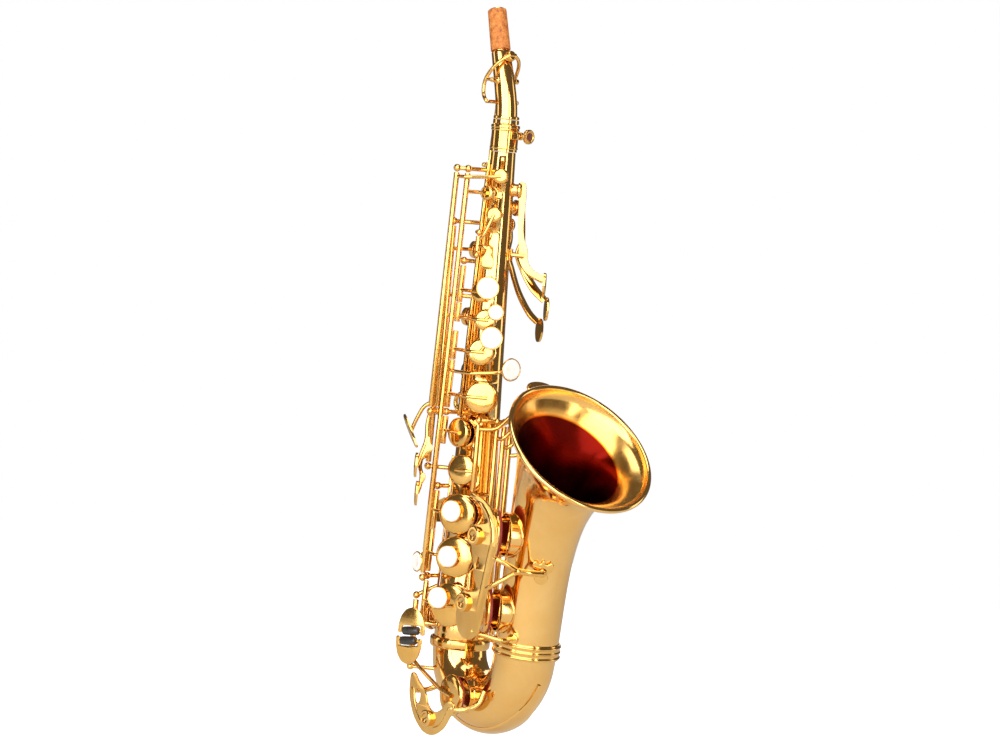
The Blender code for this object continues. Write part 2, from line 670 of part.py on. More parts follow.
def right_posts():
    pieces = [rib(113, 143.2, 301, 3.4)]
    for z in (240.0, 145.5):
        p = stack_point(z)
        pieces += [rod(pol(113, rb(z) + 0.9, z), p, POST_R, 6), ball(p, BALL_R)]
    # double post at the top: the E rod and the F sharp rod hang from one bar
    low_e, high_e = SIDE_RODS["side_e"]
    low_f, high_f = SIDE_RODS["high_fs"]
    pieces += [rod(pol(112, rb(297) + 0.9, 297), high_f, POST_R, 6), ball(high_f, BALL_R),
               rod(high_f, high_e, POST_R, 6), ball(high_e, BALL_R)]
    low_c, high_c = SIDE_RODS["side_c"]
    pieces += [rod(pol(113, rb(264) + 0.9, 264), high_c, POST_R, 6), ball(high_c, BALL_R)]
    low_b, high_b = SIDE_RODS["side_bb"]
    pieces += [rod(pol(114, rb(218) + 0.9, 218), high_b, POST_R, 6), ball(high_b, BALL_R)]
    pieces += [rod(stack_point(145.5), low_c, POST_R, 6), ball(low_c, BALL_R),
               rod(low_c, low_e, POST_R, 6), ball(low_e, BALL_R)]
    # a short rod for the front F key
    lo, hi = FRONT_F_ROD
    for end in (lo, hi):
        z = end.z
        pieces += [wire([pol(112, rb(z) + 0.9, z), pol(96, rb(z) + 5.2, z), end], 1.2, 6),
                   ball(end, 2.0)]
    finish("upper_right_posts", pieces, "brass")
    pieces = [rib(124, 34, 118, 4.0)]
    for key in ("low1", "low2"):
        z = STACK_POSTS[key]
        p = stack_point(z)
        pieces += [rod(pol(122, rb(z) + 0.9, z), p, POST_R, 6), ball(p, BALL_R)]
    pieces += [rod(stack_point(42.3), low_f, POST_R, 6), ball(low_f, BALL_R)]
    pieces += [rod(pol(127, rb(110) + 0.9, 110), low_b, POST_R, 6), ball(low_b, BALL_R)]
    top_pinky = SIDE_RODS["pinky"][1]
    pieces += [rod(pol(126, rb(35) + 0.9, 36), top_pinky, POST_R, 6), ball(top_pinky, BALL_R)]
    finish("lower_right_posts", pieces, "brass")


FRONT_F_ROD = (pol(74, rb(244) + 8.5, 244.5), pol(74, rb(258) + 8.2, 258.5))


def front_posts():
    top = {k: v[1] for k, v in FRONT_RODS.items()}
    low = {k: v[0] for k, v in FRONT_RODS.items()}
    pieces = [rib(0, 5.6, 143.0, 3.8),
              rod(pol(0, rb(140) + 0.9, 141.5), top["low_bb"], POST_R, 6),
              rod(top["g_sharp"], top["low_bb"], POST_R, 6),
              rod(top["low_bb"], top["low_cs"], POST_R, 6)]
    pieces += [ball(p, 2.2) for p in top.values()]
    for key in low:
        z = low[key].z
        pieces += [rod(pol(0, rb(z) + 1.5, z), low[key], POST_R, 6), ball(low[key], 2.2)]
    finish("front_posts", pieces, "brass")


PALMS = {   # cup angle and height, then its touch's height, distance and angle
    "palm_f": (-50, 286.0, 229.2, 32.6, -50), "palm_eb": (-82, 275.0, 213.8, 36.2, -66),
    "palm_d": (-114, 264.0, 199.8, 36.2, -80)}
PALM_Z = 246.0


def palm_pivot(angle):
    return pol(angle, rb(PALM_Z) + 7.6, PALM_Z)


def palm_posts():
    steps = [-129, -112, -94, -76, -58, -40, -32]
    sections = []
    for a in steps:
        inner, outer = rb(PALM_Z) + 0.45, rb(PALM_Z) + 2.0
        sections.append([pol(a, inner, PALM_Z - 3.5), pol(a, outer, PALM_Z - 3.5),
                         pol(a, outer, PALM_Z + 3.5), pol(a, inner, PALM_Z + 3.5)])
    pieces = [sweep(sections)]
    for name, (angle, *rest) in PALMS.items():
        p = palm_pivot(angle)
        t = out(angle + 90)
        n = out(angle)
        for s in (-1, 1):
            foot = p + t * s * 4.1 - n * 6.6
            pieces += [rod(foot, p + t * s * 4.1 + n * 1.6, 1.3, 6)]
    finish("palm_key_posts", pieces, "brass")


# ---------------------------------------------------------------------- keys
def seat(name):
    angle, z, _, radius = HOLES[name]
    point, normal = cup_frame(angle, z)
    return point, normal, radius


def line_at(low, high, z):
    return low.lerp(high, (z - low.z) / (high.z - low.z))


def stack_key(name, node, z0, z1, pearl_at=None, pearl_radius=0, travel=STACK_TRAVEL,
              extra=None, arm_z=None):
    """A key on the stack rod: hinge tube, arm, cup and, if asked, a pearl."""
    low, high = stack_point(z0), stack_point(z1)
    point, normal, radius = seat(name)
    hinge = Hinge(low, high, point, normal, travel, True)
    z = point.z if arm_z is None else arm_z
    base = line_at(low, high, z)
    pieces = [rod(low, high, TUBE_R, 8), cup(point, normal, radius),
              wire(over_arm(base, point, normal, radius), ARM_R, 4)]
    if extra:
        pieces += extra(low, high, point, normal, radius)
    place = None
    if pearl_at:
        centre, facing = pearl_at(point, normal, radius)
        pieces.append(pearl_holder(centre, facing, pearl_radius))
        place = (centre, facing)
    finish(node, pieces, "brass", pivot=hinge.mid, turn=hinge.turn)
    hinge.joint(node)
    if place:
        pearl(node.replace("_key", "") + "_pearl", place[0], place[1], pearl_radius,
              hinge.turn, hinge.mid)


def ahead(angle, z, radius, stem_from=None):
    """A pearl on a short arm reaching past its cup."""
    centre = pol(angle, radius, z)
    return lambda point, normal, r: (centre, out(angle))


def stack_keys():
    def stem(angle, z, radius):
        def build(low, high, point, normal, r):
            end = pol(angle, radius, z)
            n = out(angle)
            start = point + normal * (CUP_HEIGHT + 0.2)
            return [wire([start, end - n * 1.2 + (start - end) * 0.25, end + n * 0.5], 1.2, 6)]
        return build

    stack_key("b", "b_key", 214.2, 237.0, ahead(34, 225.0, rb(224) + 9.4), 6.6,
              extra=stem(34, 225.0, rb(224) + 9.4))
    stack_key("bis", "bis_key", 202.0, 213.8, ahead(19, 210.5, rb(210) + 9.0), 4.6,
              extra=stem(19, 210.5, rb(210) + 9.0))
    stack_key("a", "a_key", 178.5, 196.2, ahead(23, 194.5, rb(193) + 9.8), 6.6,
              extra=stem(23, 194.5, rb(193) + 9.8))

    def g_stem(low, high, point, normal, r):
        # the G pearl stands on a thin arm of its own, round the front
        end = pol(-7, rb(176) + 13.6, 176.0)
        start = line_at(low, high, 172.0)
        path = [start, pol(80, rb(172) + 14.6, 172.0), pol(45, rb(172) + 15.6, 172.0),
                pol(12, rb(173) + 14.0, 173.5), end + out(-7) * 0.5]
        return [wire(path, 1.1, 6)]

    stack_key("g", "g_key", 148.3, 178.1, ahead(-7, 176.0, rb(176) + 13.6), 6.6, extra=g_stem)

    def on_top(back, up):
        def build(point, normal, r):
            side = Vector((0, 0, 1)).cross(normal).normalized()
            side = side if side.x < 0 else -side
            return point + normal * (CUP_HEIGHT - 0.15) + side * back + Vector((0, 0, up)), normal
        return build

    stack_key("fs", "fs_key", 125.5, 142.6)
    stack_key("f", "f_key", 72.0, 96.1, on_top(2.4, 1.6), 6.6)
    stack_key("e", "e_key", 45.2, 71.6, on_top(3.0, 0.2), 6.6)
    stack_key("d", "d_key", 15.4, 39.4, on_top(6.2, 4.0), 6.6)


def touch_plate(centre, normal, up, length, width, thick=1.3):
    """A rounded key touch, slightly longer than wide."""
    x = up.cross(normal).normalized()
    l, w = length / 2, width / 2
    outline = [(-w * 0.7, -l * 0.72), (0, -l), (w * 0.7, -l * 0.72), (w, 0),
               (w * 0.75, l * 0.7), (0, l), (-w * 0.75, l * 0.7), (-w, 0)]
    return flat(outline, thick, frame(centre, x, normal.cross(x), normal), smooth=True)


def side_key(name, tube_low, tube_high, arm_z, touch, touch_normal, touch_up, stem, size,
             travel=SIDE_TRAVEL, route=None):
    low, high = SIDE_RODS[name]
    a, b = line_at(low, high, tube_low), line_at(low, high, tube_high)
    point, normal, radius = seat(name)
    hinge = Hinge(a, b, point, normal, travel, False)
    base = line_at(low, high, arm_z)
    path = over_arm(base, point, normal, radius) if route is None else route(base, point, normal, radius)
    pieces = [rod(a, b, TUBE_R - 0.1, 8), cup(point, normal, radius, 3.8, 14),
              wire(path, ARM_R, 4),
              wire([line_at(low, high, stem[0])] + stem[1] + [touch - touch_normal * 0.5], 1.25, 4)]
    return hinge, pieces, (a, b)


def side_keys():
    # high E: long rod, touch hanging behind it
    touch = at(-15.5, 41.0, 132.0)
    tn = at(-0.40, 0.84, -0.36).normalized()
    hinge, pieces, _ = side_key(
        "side_e", 148.3, 294.2, 292.0, touch, tn, None,
        (151.2, [at(-9.8, 36.8, 148.0), at(-12.8, 39.3, 139.5)]), None,
        route=lambda base, p, n, r: [base, at(3.6, 29.5, 292.0), at(8.6, 16.0, 293.0),
                                     p + n * 4.3])
    pieces.append(touch_plate(touch, tn, at(-0.70, 0.0, 0.715), 25.0, 8.0, 1.4))
    finish("side_e_key", pieces, "brass", pivot=hinge.mid)
    hinge.joint("side_e_key")
    # side C: cup behind the stack, touch low on the right
    touch = at(-10.7, 38.0, 111.5)
    tn = at(-0.55, 0.835, 0.0).normalized()

    def web(centre, outline):
        across = at(0.6, -0.8, 0)
        return flat(outline, 1.4, frame(centre, across, Vector((0, 0, 1)), across.cross(Vector((0, 0, 1)))),
                    smooth=True)

    hinge, pieces, _ = side_key(
        "side_c", 148.3, 261.2, 247.0, touch, tn, None,
        (151.5, [at(-12.0, 29.0, 147.0), at(-11.0, 32.0, 138.0), at(-7.6, 33.6, 127.5), at(-9.4, 36.2, 117.0)]),
        None)
    pieces.append(touch_plate(touch, tn, Vector((0, 0, 1)), 15.5, 9.5, 1.5))
    pieces.append(web(touch, [(-0.4, -2.5), (0.3, 3.5), (3.4, 8.5), (4.8, 14.0), (4.6, 17.4), (6.6, 18.2),
                              (8.0, 14.0), (9.3, 12.6), (9.2, 9.4), (7.0, 8.0), (4.0, 4.2), (1.3, -1.5)]))
    finish("side_c_key", pieces, "brass", pivot=hinge.mid)
    hinge.joint("side_c_key")
    # side B flat
    touch = at(-9.0, 37.0, 94.0)
    hinge, pieces, _ = side_key(
        "side_bb", 112.8, 215.2, 205.0, touch, tn, None,
        (117.0, [at(-18.5, 28.5, 115.0), at(-13.5, 33.0, 110.0), at(-8.4, 34.6, 106.0), at(-7.8, 35.4, 99.0)]),
        None)
    pieces.append(touch_plate(touch, tn, Vector((0, 0, 1)), 15.5, 9.5, 1.5))
    pieces.append(web(touch, [(-0.4, -2.0), (0.4, 4.0), (1.6, 8.4), (1.8, 12.0), (3.2, 13.0), (4.6, 11.4),
                              (4.5, 9.0), (3.6, 7.0), (2.6, 5.0), (1.2, 0.4)]))
    finish("side_bb_key", pieces, "brass", pivot=hinge.mid)
    hinge.joint("side_bb_key")
    # high F sharp: the longest rod, with a pearl low down
    pearl_at = at(-9.5, 29.8, 51.0)
    pn = at(-0.12, 1.0, 0.0).normalized()
    hinge, pieces, _ = side_key(
        "high_fs", 44.8, 294.2, 283.0, pearl_at, pn, None,
        (57.0, [at(-8.5, 29.2, 56.0)]), None)
    pieces.append(pearl_holder(pearl_at, pn, 5.9))
    finish("high_fs_key", pieces, "brass", pivot=hinge.mid)
    hinge.joint("high_fs_key")
    pearl("high_fs_pearl", pearl_at, pn, 5.9, None, hinge.mid)
    # front F: a teardrop touch in front of its own short rod
    lo, hi = FRONT_F_ROD
    a, b = line_at(lo, hi, 246.9), line_at(lo, hi, 256.1)
    point, normal, radius = seat("front_f")
    hinge = Hinge(a, b, point, normal, 2.2, False)
    tc = pol(49, rb(241) + 9.0, 242.5)
    tn2 = out(49)
    x = Vector((0, 0, 1)).cross(tn2).normalized()
    drop = flat([(0, -6.4), (3.6, -4.6), (4.2, -1.0), (1.7, 3.6), (0.8, 7.8), (-0.8, 7.8),
                 (-1.7, 3.6), (-4.2, -1.0), (-3.6, -4.6)], 1.3,
                frame(tc, x, Vector((0, 0, 1)), tn2), smooth=True)
    arm_a = line_at(a, b, 254.0)
    pieces = [rod(a, b, 1.6, 10), cup(point, normal, radius, 3.8, 14), drop,
              wire([arm_a, pol(62, rb(258) + 9.0, 256.5), pol(53, rb(263) + 8.2, 264.0),
                    point + normal * 4.2], 1.1, 4),
              wire([line_at(a, b, 250.0), pol(60, rb(248) + 9.0, 250.3), tc + Vector((0, 0, 6.0))], 1.1, 4)]
    finish("front_f_key", pieces, "brass", pivot=hinge.mid)
    hinge.joint("front_f_key")


def palm_keys():
    for name, (angle, zc, zt, rt, ta) in PALMS.items():
        point, normal, radius = seat(name)
        p = palm_pivot(angle)
        t = out(angle + 90)
        hinge = Hinge(p - t * 2.0, p + t * 2.0, point, normal, 2.4, False)
        pieces = [rod(p - t * 2.1, p + t * 2.1, 2.1, 10),
                  cup(point, normal, radius, 2.8 if name == "palm_f" else 3.8, 14)]
        face, up = out(ta), Vector((0, 0, 1))
        if name == "palm_f":
            # the front lever is a deep blade standing on edge
            blade = [(12.6, 291.4), (15.4, 290.6), (16.3, 286.5), (16.5, 272.0), (17.3, 258.5),
                     (20.4, 249.0), (21.4, 242.5), (24.4, 238.2), (29.0, 235.6), (32.2, 234.4),
                     (32.0, 230.6), (27.0, 231.6), (21.6, 234.6), (17.8, 239.0), (15.6, 243.6),
                     (14.8, 250.0), (14.0, 258.0), (12.9, 270.0), (12.3, 281.0)]
            pieces.append(flat(blade, 2.2, frame(at(0, 0, 0), out(angle), up, out(angle).cross(up)),
                               smooth=True))
        elif name == "palm_eb":
            path = [point + normal * 4.2, pol(angle, rb(zc) + 8.6, zc - 3),
                    pol(angle, rb(256) + 9.6, PALM_Z + 9), p, pol(-80, 22.0, 236.0),
                    pol(-73, 28.0, 226.0), pol(-67, 34.8, 219.0)]
            pieces.append(wire(path, 1.7, 6))
        else:
            path = [point + normal * 4.2, pol(angle, rb(zc) + 8.6, zc - 3),
                    pol(angle, rb(256) + 9.6, PALM_Z + 9), p, pol(-111, 22.0, 236.0),
                    pol(-98, 24.5, 222.0), pol(-87, 29.5, 210.5), pol(-81, 34.6, 204.6)]
            pieces.append(wire(path, 1.7, 6))
        lean = (up + face * 0.12).normalized() if name == "palm_f" else (up + face * -0.1).normalized()
        pieces.append(touch_plate(pol(ta, rt, zt), face, lean, 15.0, 8.4, 1.6))
        finish(name + "_key", pieces, "brass", pivot=p)
        hinge.mid = p
        hinge.joint(name + "_key")


def left_hand_keys():
    """The keys of the left little finger: rods at the front, touches in a table."""
    def table(centre, length=17.0, width=8.5, facing=(0.35, -0.15, 1.0)):
        n = at(*facing).normalized()
        along = at(0.25, -1.0, 0.0).normalized()
        return touch_plate(centre, n, along, length, width, 1.4)

    # G sharp
    lo, hi = FRONT_RODS["g_sharp"]
    a, b = line_at(lo, hi, 99.2), line_at(lo, hi, 140.3)
    point, normal, radius = seat("g_sharp")
    hinge = Hinge(a, b, point, normal, 1.7, False)
    tc = at(29.0, -23.5, 164.6)
    pieces = [rod(a, b, TUBE_R, 8), cup(point, normal, radius),
              wire(over_arm(line_at(lo, hi, 111.0), point, normal, radius), ARM_R, 4),
              wire([line_at(lo, hi, 137.6), at(27.0, 6.5, 138.6), at(30.5, -4.0, 150.0), at(29.5, -14.0, 162.5), tc],
                   1.3, 6), table(tc, 18.5, 13.0, (0.62, 0.1, 0.78))]
    finish("g_sharp_key", pieces, "brass", pivot=hinge.mid)
    hinge.joint("g_sharp_key")

    # low C sharp, on the left of the body
    lo, hi = FRONT_RODS["low_cs"]
    a, b = line_at(lo, hi, 9.6), line_at(lo, hi, 140.3)
    point, normal, radius = seat("low_cs")
    hinge = Hinge(a, b, point, normal, SIDE_TRAVEL, False)
    tc = at(27.5, -25.0, 131.5)
    pieces = [rod(a, b, TUBE_R, 8), cup(point, normal, radius),
              wire(over_arm(line_at(lo, hi, 20.0), point, normal, radius), ARM_R, 4),
              wire([line_at(lo, hi, 122.0), at(27.0, -13.0, 123.0), at(27.5, -19.0, 130.0), tc], 1.3, 6),
              table(tc)]
    finish("low_cs_key", pieces, "brass", pivot=hinge.mid)
    hinge.joint("low_cs_key")

    # low B and low B flat, over the two chimneys on the bell
    for key, arm_z, start_z, tube_low, bend, tc in (
            ("low_b", 32.0, 127.0, 14.6, [at(29.0, -3.5, 128.0), at(30.5, -12.0, 136.0)],
             at(29.0, -24.0, 143.5)),
            ("low_bb", 79.0, 132.5, 60.6, [at(28.6, 1.5, 133.0), at(31.5, -8.0, 144.0)],
             at(30.0, -23.0, 155.5))):
        lo, hi = FRONT_RODS[key]
        a, b = line_at(lo, hi, tube_low), line_at(lo, hi, 140.3)
        c, r = bell_at(BELL_HOLES[key][0])
        normal = out(BELL_SIDE_ANGLE)
        point = c + normal * (r + CHIMNEY_RISE + 0.3 + SEAT_GAP)
        radius = BELL_HOLES[key][2]
        hinge = Hinge(a, b, point, normal, BELL_TRAVEL, True)
        base = line_at(lo, hi, arm_z)
        top = point + normal * (4.6 + 0.5)
        away = (base - point)
        away = (away - normal * away.dot(normal)).normalized()
        path = [base, base.lerp(top + away * radius, 0.55) + normal * 1.5,
                top + away * (radius * 0.8), top - away * radius * 0.3]
        pieces = [rod(a, b, TUBE_R, 8), cup(point, normal, radius, 4.6, 18),
                  wire(path, 1.35, 6),
                  wire([line_at(lo, hi, start_z)] + bend + [tc], 1.3, 6), table(tc)]
        finish(key + "_key", pieces, "brass", pivot=hinge.mid, turn=hinge.turn)
        hinge.joint(key + "_key")


PLATE_X = at(0.89, -0.456, 0)      # along the little finger's two touches
PLATE_N = at(0.456, 0.89, 0)       # the way they face
PLATE_AT = at(-5.6, 34.0, 4.9)


def on_plate(x, y, proud=0.0):
    return PLATE_AT + PLATE_X * x + Vector((0, 0, y)) + PLATE_N * proud


def roller(name, left, right, turn):
    """A roller set in the edge of a touch, and the two pins that carry it."""
    a, b = on_plate(*left, 0.5), on_plate(*right, 0.5)
    line = (b - a).normalized()
    pins = [rod(a - line * 1.3, a - line * 0.3, 0.7, 6), rod(b + line * 0.3, b + line * 1.3, 0.7, 6)]
    mid = (a + b) / 2
    where, along = mid, line
    if turn is not None:
        where, along = turn @ mid, (turn.to_3x3() @ line)
    JOINTS[name] = {"pos": vec(where), "axis": [round(float(c), 6) for c in along],
                    "continuous": True}
    finish(name, [rod(a, b, 2.3, 10)], "black", pivot=where, turn=turn)
    return pins


def little_finger_keys():
    """Low C and E flat, worked by the right little finger."""
    lo, hi = SIDE_RODS["pinky"]
    m = frame(PLATE_AT, PLATE_X, Vector((0, 0, 1)), PLATE_X.cross(Vector((0, 0, 1))))
    # E flat
    a, b = line_at(lo, hi, 7.2), line_at(lo, hi, 26.2)
    point, normal, radius = seat("eb")
    hinge = Hinge(a, b, point, normal, SIDE_TRAVEL, False)
    pieces = [rod(a, b, TUBE_R, 8), cup(point, normal, radius),
              wire(over_arm(line_at(lo, hi, 17.0), point, normal, radius), ARM_R, 4),
              wire([line_at(lo, hi, 16.0), at(-13.0, 31.0, 16.0), on_plate(-3.0, 12.0, -0.3)], 1.3, 6),
              flat([(-9.3, 1.2), (-6.5, 1.2), (-6.5, 5.9), (6.5, 7.1), (6.5, 1.2), (9.3, 1.2),
                    (9.0, 7.0), (7.6, 12.2), (4.6, 16.4), (0.0, 18.2), (-4.6, 16.4), (-7.6, 12.2),
                    (-9.0, 7.0)], 1.5, m)]
    pieces += roller("eb_roller", (-5.4, 2.7), (5.4, 3.9), None)
    finish("eb_key", pieces, "brass", pivot=hinge.mid)
    hinge.joint("eb_key")
    # low C
    a, b = line_at(lo, hi, -13.2), line_at(lo, hi, 6.6)
    normal = at(0, 1, 0)
    point = at(LOW_C[0], 21.2 + SEAT_GAP, LOW_C[1])
    radius = LOW_C[3]
    hinge = Hinge(a, b, point, normal, 3.6, True)
    top = point + normal * 4.9
    pieces = [rod(a, b, TUBE_R, 8), cup(point, normal, radius, 4.4, 18),
              wire([line_at(lo, hi, -10.0), at(-4.0, 26.5, -14.0), top + at(-radius * 0.9, 0, 2.5),
                    top + at(radius * 0.3, 0, 0)], 1.35, 6),
              wire([line_at(lo, hi, -6.0), at(-13.0, 31.0, -6.0), on_plate(-3.0, -11.5, -0.3)], 1.3, 6),
              flat([(-9.3, -0.9), (-9.0, -7.0), (-7.6, -12.2), (-4.6, -16.4), (0.0, -18.2),
                    (4.6, -16.4), (7.6, -12.2), (9.0, -7.0), (9.3, -0.9), (6.5, -0.9), (6.5, -5.6),
                    (-6.5, -6.8), (-6.5, -0.9)], 1.5, m)]
    pieces += roller("low_c_roller", (-5.4, -3.6), (5.4, -2.4), hinge.turn)
    finish("low_c_key", pieces, "brass", pivot=hinge.mid, turn=hinge.turn)
    hinge.joint("low_c_key")


def octave_keys():
    # thumb lever: a long bar down the back, rocking on a cross hinge near the top
    p = pol(180, rb(300) + 5.2, 300.0)
    side = at(0, 1, 0)
    path = [at(-10.6, 0, 341.5), at(-11.4, 0, 326.0), at(-13.0, 0, 312.0), p,
            at(-(rb(285) + 5.6), -1.0, 285.0), at(-(rb(262) + 6.0), -1.4, 262.0),
            at(-(rb(215) + 6.6), -1.4, 215.0), at(-(rb(198) + 8.2), -3.6, 196.0)]
    touch_c = at(-(rb(190) + 8.6), -4.4, 190.0)
    pieces = [wire(path, 1.1, 6), rod(p - side * 2.4, p + side * 2.4, 1.9, 10),
              touch_plate(touch_c, at(-1, -0.1, 0.1), Vector((0, 0, 1)), 19.0, 10.0, 1.6)]
    JOINTS["octave_lever"] = {"pos": vec(p), "axis": [-1, 0, 0], "range": [0, 2.0]}
    finish("octave_lever", pieces, "brass", pivot=p)
    # a saddle carries that hinge
    sections = []
    for a in (150, 165, 180, 195, 210):
        inner, outer = rb(300) + 0.4, rb(300) + 1.8
        sections.append([pol(a, inner, 297.0), pol(a, outer, 297.0), pol(a, outer, 303.0),
                         pol(a, inner, 303.0)])
    posts = [sweep(sections)]
    for s in (-1, 1):
        posts += [rod(p + side * s * 4.2 + at(4.6, 0, 0), p + side * s * 4.2, 1.0, 6),
                  ball(p + side * s * 4.2, 1.6)]
    finish("octave_post", posts, "brass")
    # the body octave key: a short lever over the pip, on a cross hinge
    angle, z = PIP
    n, t = out(angle), out(angle + 90)
    seat_p = pol(angle, rb(z) + 3.0 + SEAT_GAP, z)
    hp = pol(angle, rb(227) + 5.4, 227.0)
    hinge = Hinge(hp - t * 2.0, hp + t * 2.0, seat_p, n, 1.6, False)
    pieces = [rod(hp - t * 2.0, hp + t * 2.0, 1.6, 8), cup(seat_p, n, 3.0, 2.8, 10),
              wire([seat_p + n * 2.8, hp, pol(angle, rb(217) + 5.0, 217.0)], 1.1, 4)]
    finish("body_octave_key", pieces, "brass", pivot=hp)
    hinge.mid = hp
    hinge.joint("body_octave_key")


# ---------------------------------------------------------- guards and trim
WELLS = ((62.0, 77.8), (56.2, 36.2))      # F and z of the guard's two bumpers
# the crescent of the guard, with an ear round each bumper
HOOK, HOOK_RADIUS = (57.0, 75.0), 27.0      # centre and outer radius of the guard's upper hook
FOOT, FOOT_RADIUS = (61.8, 26.8), 12.4      # its rounded lower end
LOBE_RADIUS = 7.1                           # the lobe round each bumper


def arc(centre, radius, start, end, steps, end_radius=None):
    """Points along an arc in degrees, whose radius may taper to end_radius."""
    last = radius if end_radius is None else end_radius
    points = []
    for i in range(steps):
        t = i / (steps - 1)
        a, r = math.radians(start + (end - start) * t), radius + (last - radius) * t
        points.append((centre[0] + r * math.cos(a), centre[1] + r * math.sin(a)))
    return points


def guard_side(z):
    """F of the guard's long outer side, a straight line from the hook down to the foot."""
    top, bottom = (HOOK[0] + HOOK_RADIUS, HOOK[1]), (FOOT[0] + FOOT_RADIUS, FOOT[1])
    return bottom[0] + (top[0] - bottom[0]) * (z - bottom[1]) / (top[1] - bottom[1])


def guard_outline():
    """The guard's edge: the hook, the outer side, the round foot, then a lobe round each bumper."""
    edge = arc(HOOK, HOOK_RADIUS, 97, 0, 8)
    edge += [(guard_side(z), z) for z in (66, 56, 46, 36)]
    edge += arc(FOOT, FOOT_RADIUS, 0, -170, 7)
    edge += arc(WELLS[1], LOBE_RADIUS, 195, 75, 5)
    # the waist between the lobes widens upward from 12 mm
    edge += [(guard_side(z) - 12 - 0.5 * (z - 46.5), z) for z in (46.5, 51.5, 57, 63)]
    edge += arc(WELLS[0], LOBE_RADIUS, 235, 80, 6)
    return edge + arc(HOOK, 18.2, 46, 90, 5, 24.4)


def guard_eye():
    """A small leaning oval hole in the waist, 3.4 mm by 7.4 mm."""
    return [(66.1 + 1.7 * x + 0.4 * y, 61.8 + 3.7 * y) for x, y in arc((0, 0), 1.0, 90, -210, 6)]


def bell_key_guard():
    """The long curved guard over the two bell keys, with its forked foot."""
    r_face = 41.0
    m = frame(at(0, r_face, 0), at(1, 0, 0), Vector((0, 0, 1)), at(0, 1, 0))
    pieces = [flat(guard_outline(), 1.3, m, smooth=True, holes=[guard_eye()])]
    # a forked foot runs to a small shield on the bell
    c, r = bell_at(62.0)
    (c0, r0), (c1, r1) = bell_at(60.0), bell_at(64.0)
    along = (c1 - c0).normalized()
    n0 = out(30)
    n0 = (n0 - along * n0.dot(along)).normalized()
    edge = ((c1 + n0 * r1) - (c0 + n0 * r0)).normalized()
    across = edge.cross(n0).normalized()
    face = across.cross(edge).normalized()
    face = face if face.dot(n0) > 0 else -face
    spot = c + n0 * (r + 1.35)
    shield = [(0, 7.4), (2.0, 5.2), (5.4, 6.4), (6.2, 1.8), (3.6, -0.6), (4.2, -4.4), (0, -7.6),
              (-4.2, -4.4), (-3.6, -0.6), (-6.2, 1.8), (-5.4, 6.4), (-2.0, 5.2)]
    pieces.append(flat(shield, 1.5, frame(spot, across, edge, across.cross(edge)), smooth=True))
    join = at(89.4, 28.0, 60.0)
    pieces += [wire([at(81.6, r_face - 0.2, 66.5), at(87.0, 37.5, 64.5), join], 1.6, 6),
               wire([at(77.4, r_face - 0.2, 48.5), at(84.6, 37.5, 53.0), join], 1.6, 6),
               wire([join + at(-0.6, 3.2, -0.1), join, spot + face * 5.0, spot + face * 0.2], 1.9, 6)]
    return pieces, r_face


def guards():
    pieces, r_face = bell_key_guard()
    # cups that hold the adjustable felts
    for f, z in WELLS:
        pieces.append(turned([(5.1, 3.2), (5.9, 2.6), (5.9, -1.2), (2.8, -1.2), (2.8, 3.2), (5.1, 3.2)],
                             at(f, r_face, z), at(0, 1, 0), 10))
    c, r = bell_at(17.0)
    foot = c + out(64) * (r + 0.9)
    pieces.append(wire([at(66, r_face, 20.0), foot + out(80) * 13, foot + out(64) * 6, foot], 1.5, 6))
    wells = [rod(at(f, r_face - 4, z), at(f, r_face + 5, z), 3.35, 10) for f, z in WELLS]
    finish("bell_key_guard", [cut(fuse(pieces), wells)], "brass")
    for name, (f, z) in zip(("guard_felt_bb", "guard_felt_b"), WELLS):
        finish(name, [rod(at(f, r_face - 2.6, z), at(f, r_face + 2.2, z), 3.05, 12)], "felt")
    # the guard of the low C key
    r_face = 37.5
    outline = [(3, -23), (6, -36), (14, -46), (26, -51), (38, -47), (46, -38), (50, -28), (44, -27),
               (38, -33), (30, -36), (24, -33), (20, -26), (12, -20), (5, -16)]
    m = frame(at(0, r_face, 0), at(1, 0, 0), Vector((0, 0, 1)), at(0, 1, 0))
    pieces = [flat(outline, 1.3, m, smooth=True, holes=[[(9, -27), (12, -34), (15, -31), (13, -25)]])]
    pieces.append(turned([(4.4, 3.0), (5.2, 2.4), (5.2, -1.2), (2.7, -1.2), (2.7, 3.0), (4.4, 3.0)],
                         at(25.0, r_face, -41.0), at(0, 1, 0), 10))
    pieces.append(wire([at(47.5, r_face, -31.0), at(53, 33, -31), at(56.0, 24, -27.0),
                        at(56.5, 20.4, -19.0)], 1.7, 6))
    pieces.append(wire([at(7, r_face, -25.0), at(4.0, 33.0, -27.5), at(5.0, 25.0, -27.0),
                        at(7.0, 18.9, -24.5)], 1.6, 6))
    well = rod(at(25.0, r_face - 4, -41.0), at(25.0, r_face + 5, -41.0), 3.25, 10)
    finish("low_c_guard", [cut(fuse(pieces), [well])], "brass")
    finish("guard_felt_c", [rod(at(25.0, r_face - 2.4, -41.0), at(25.0, r_face + 2.0, -41.0), 2.95, 12)],
           "felt")


def bell_brace():
    c, r = bell_at(60.0)
    n = out(180 + 8)
    body_side = pol(-65, rb(60) + 1.9, 60.0)
    target = at(-c.y - math.sqrt((r + 1.6) ** 2 - 12.0 ** 2), -12.0, 60.0)
    mid = (body_side + target) / 2
    pieces = [rod(body_side, at(24.0, -14.5, 60.0), 1.8, 8),
              wire([mid + at(8.5 * math.cos(a), 0, 8.5 * math.sin(a)) + at(0, -1.6, 0)
                    for a in (2 * math.pi * i / 12 for i in range(12))], 1.7, 6, cyclic=True),
              rod(at(39.0, -14.0, 60.0), target, 1.8, 8)]
    finish("bell_brace", pieces, "brass")


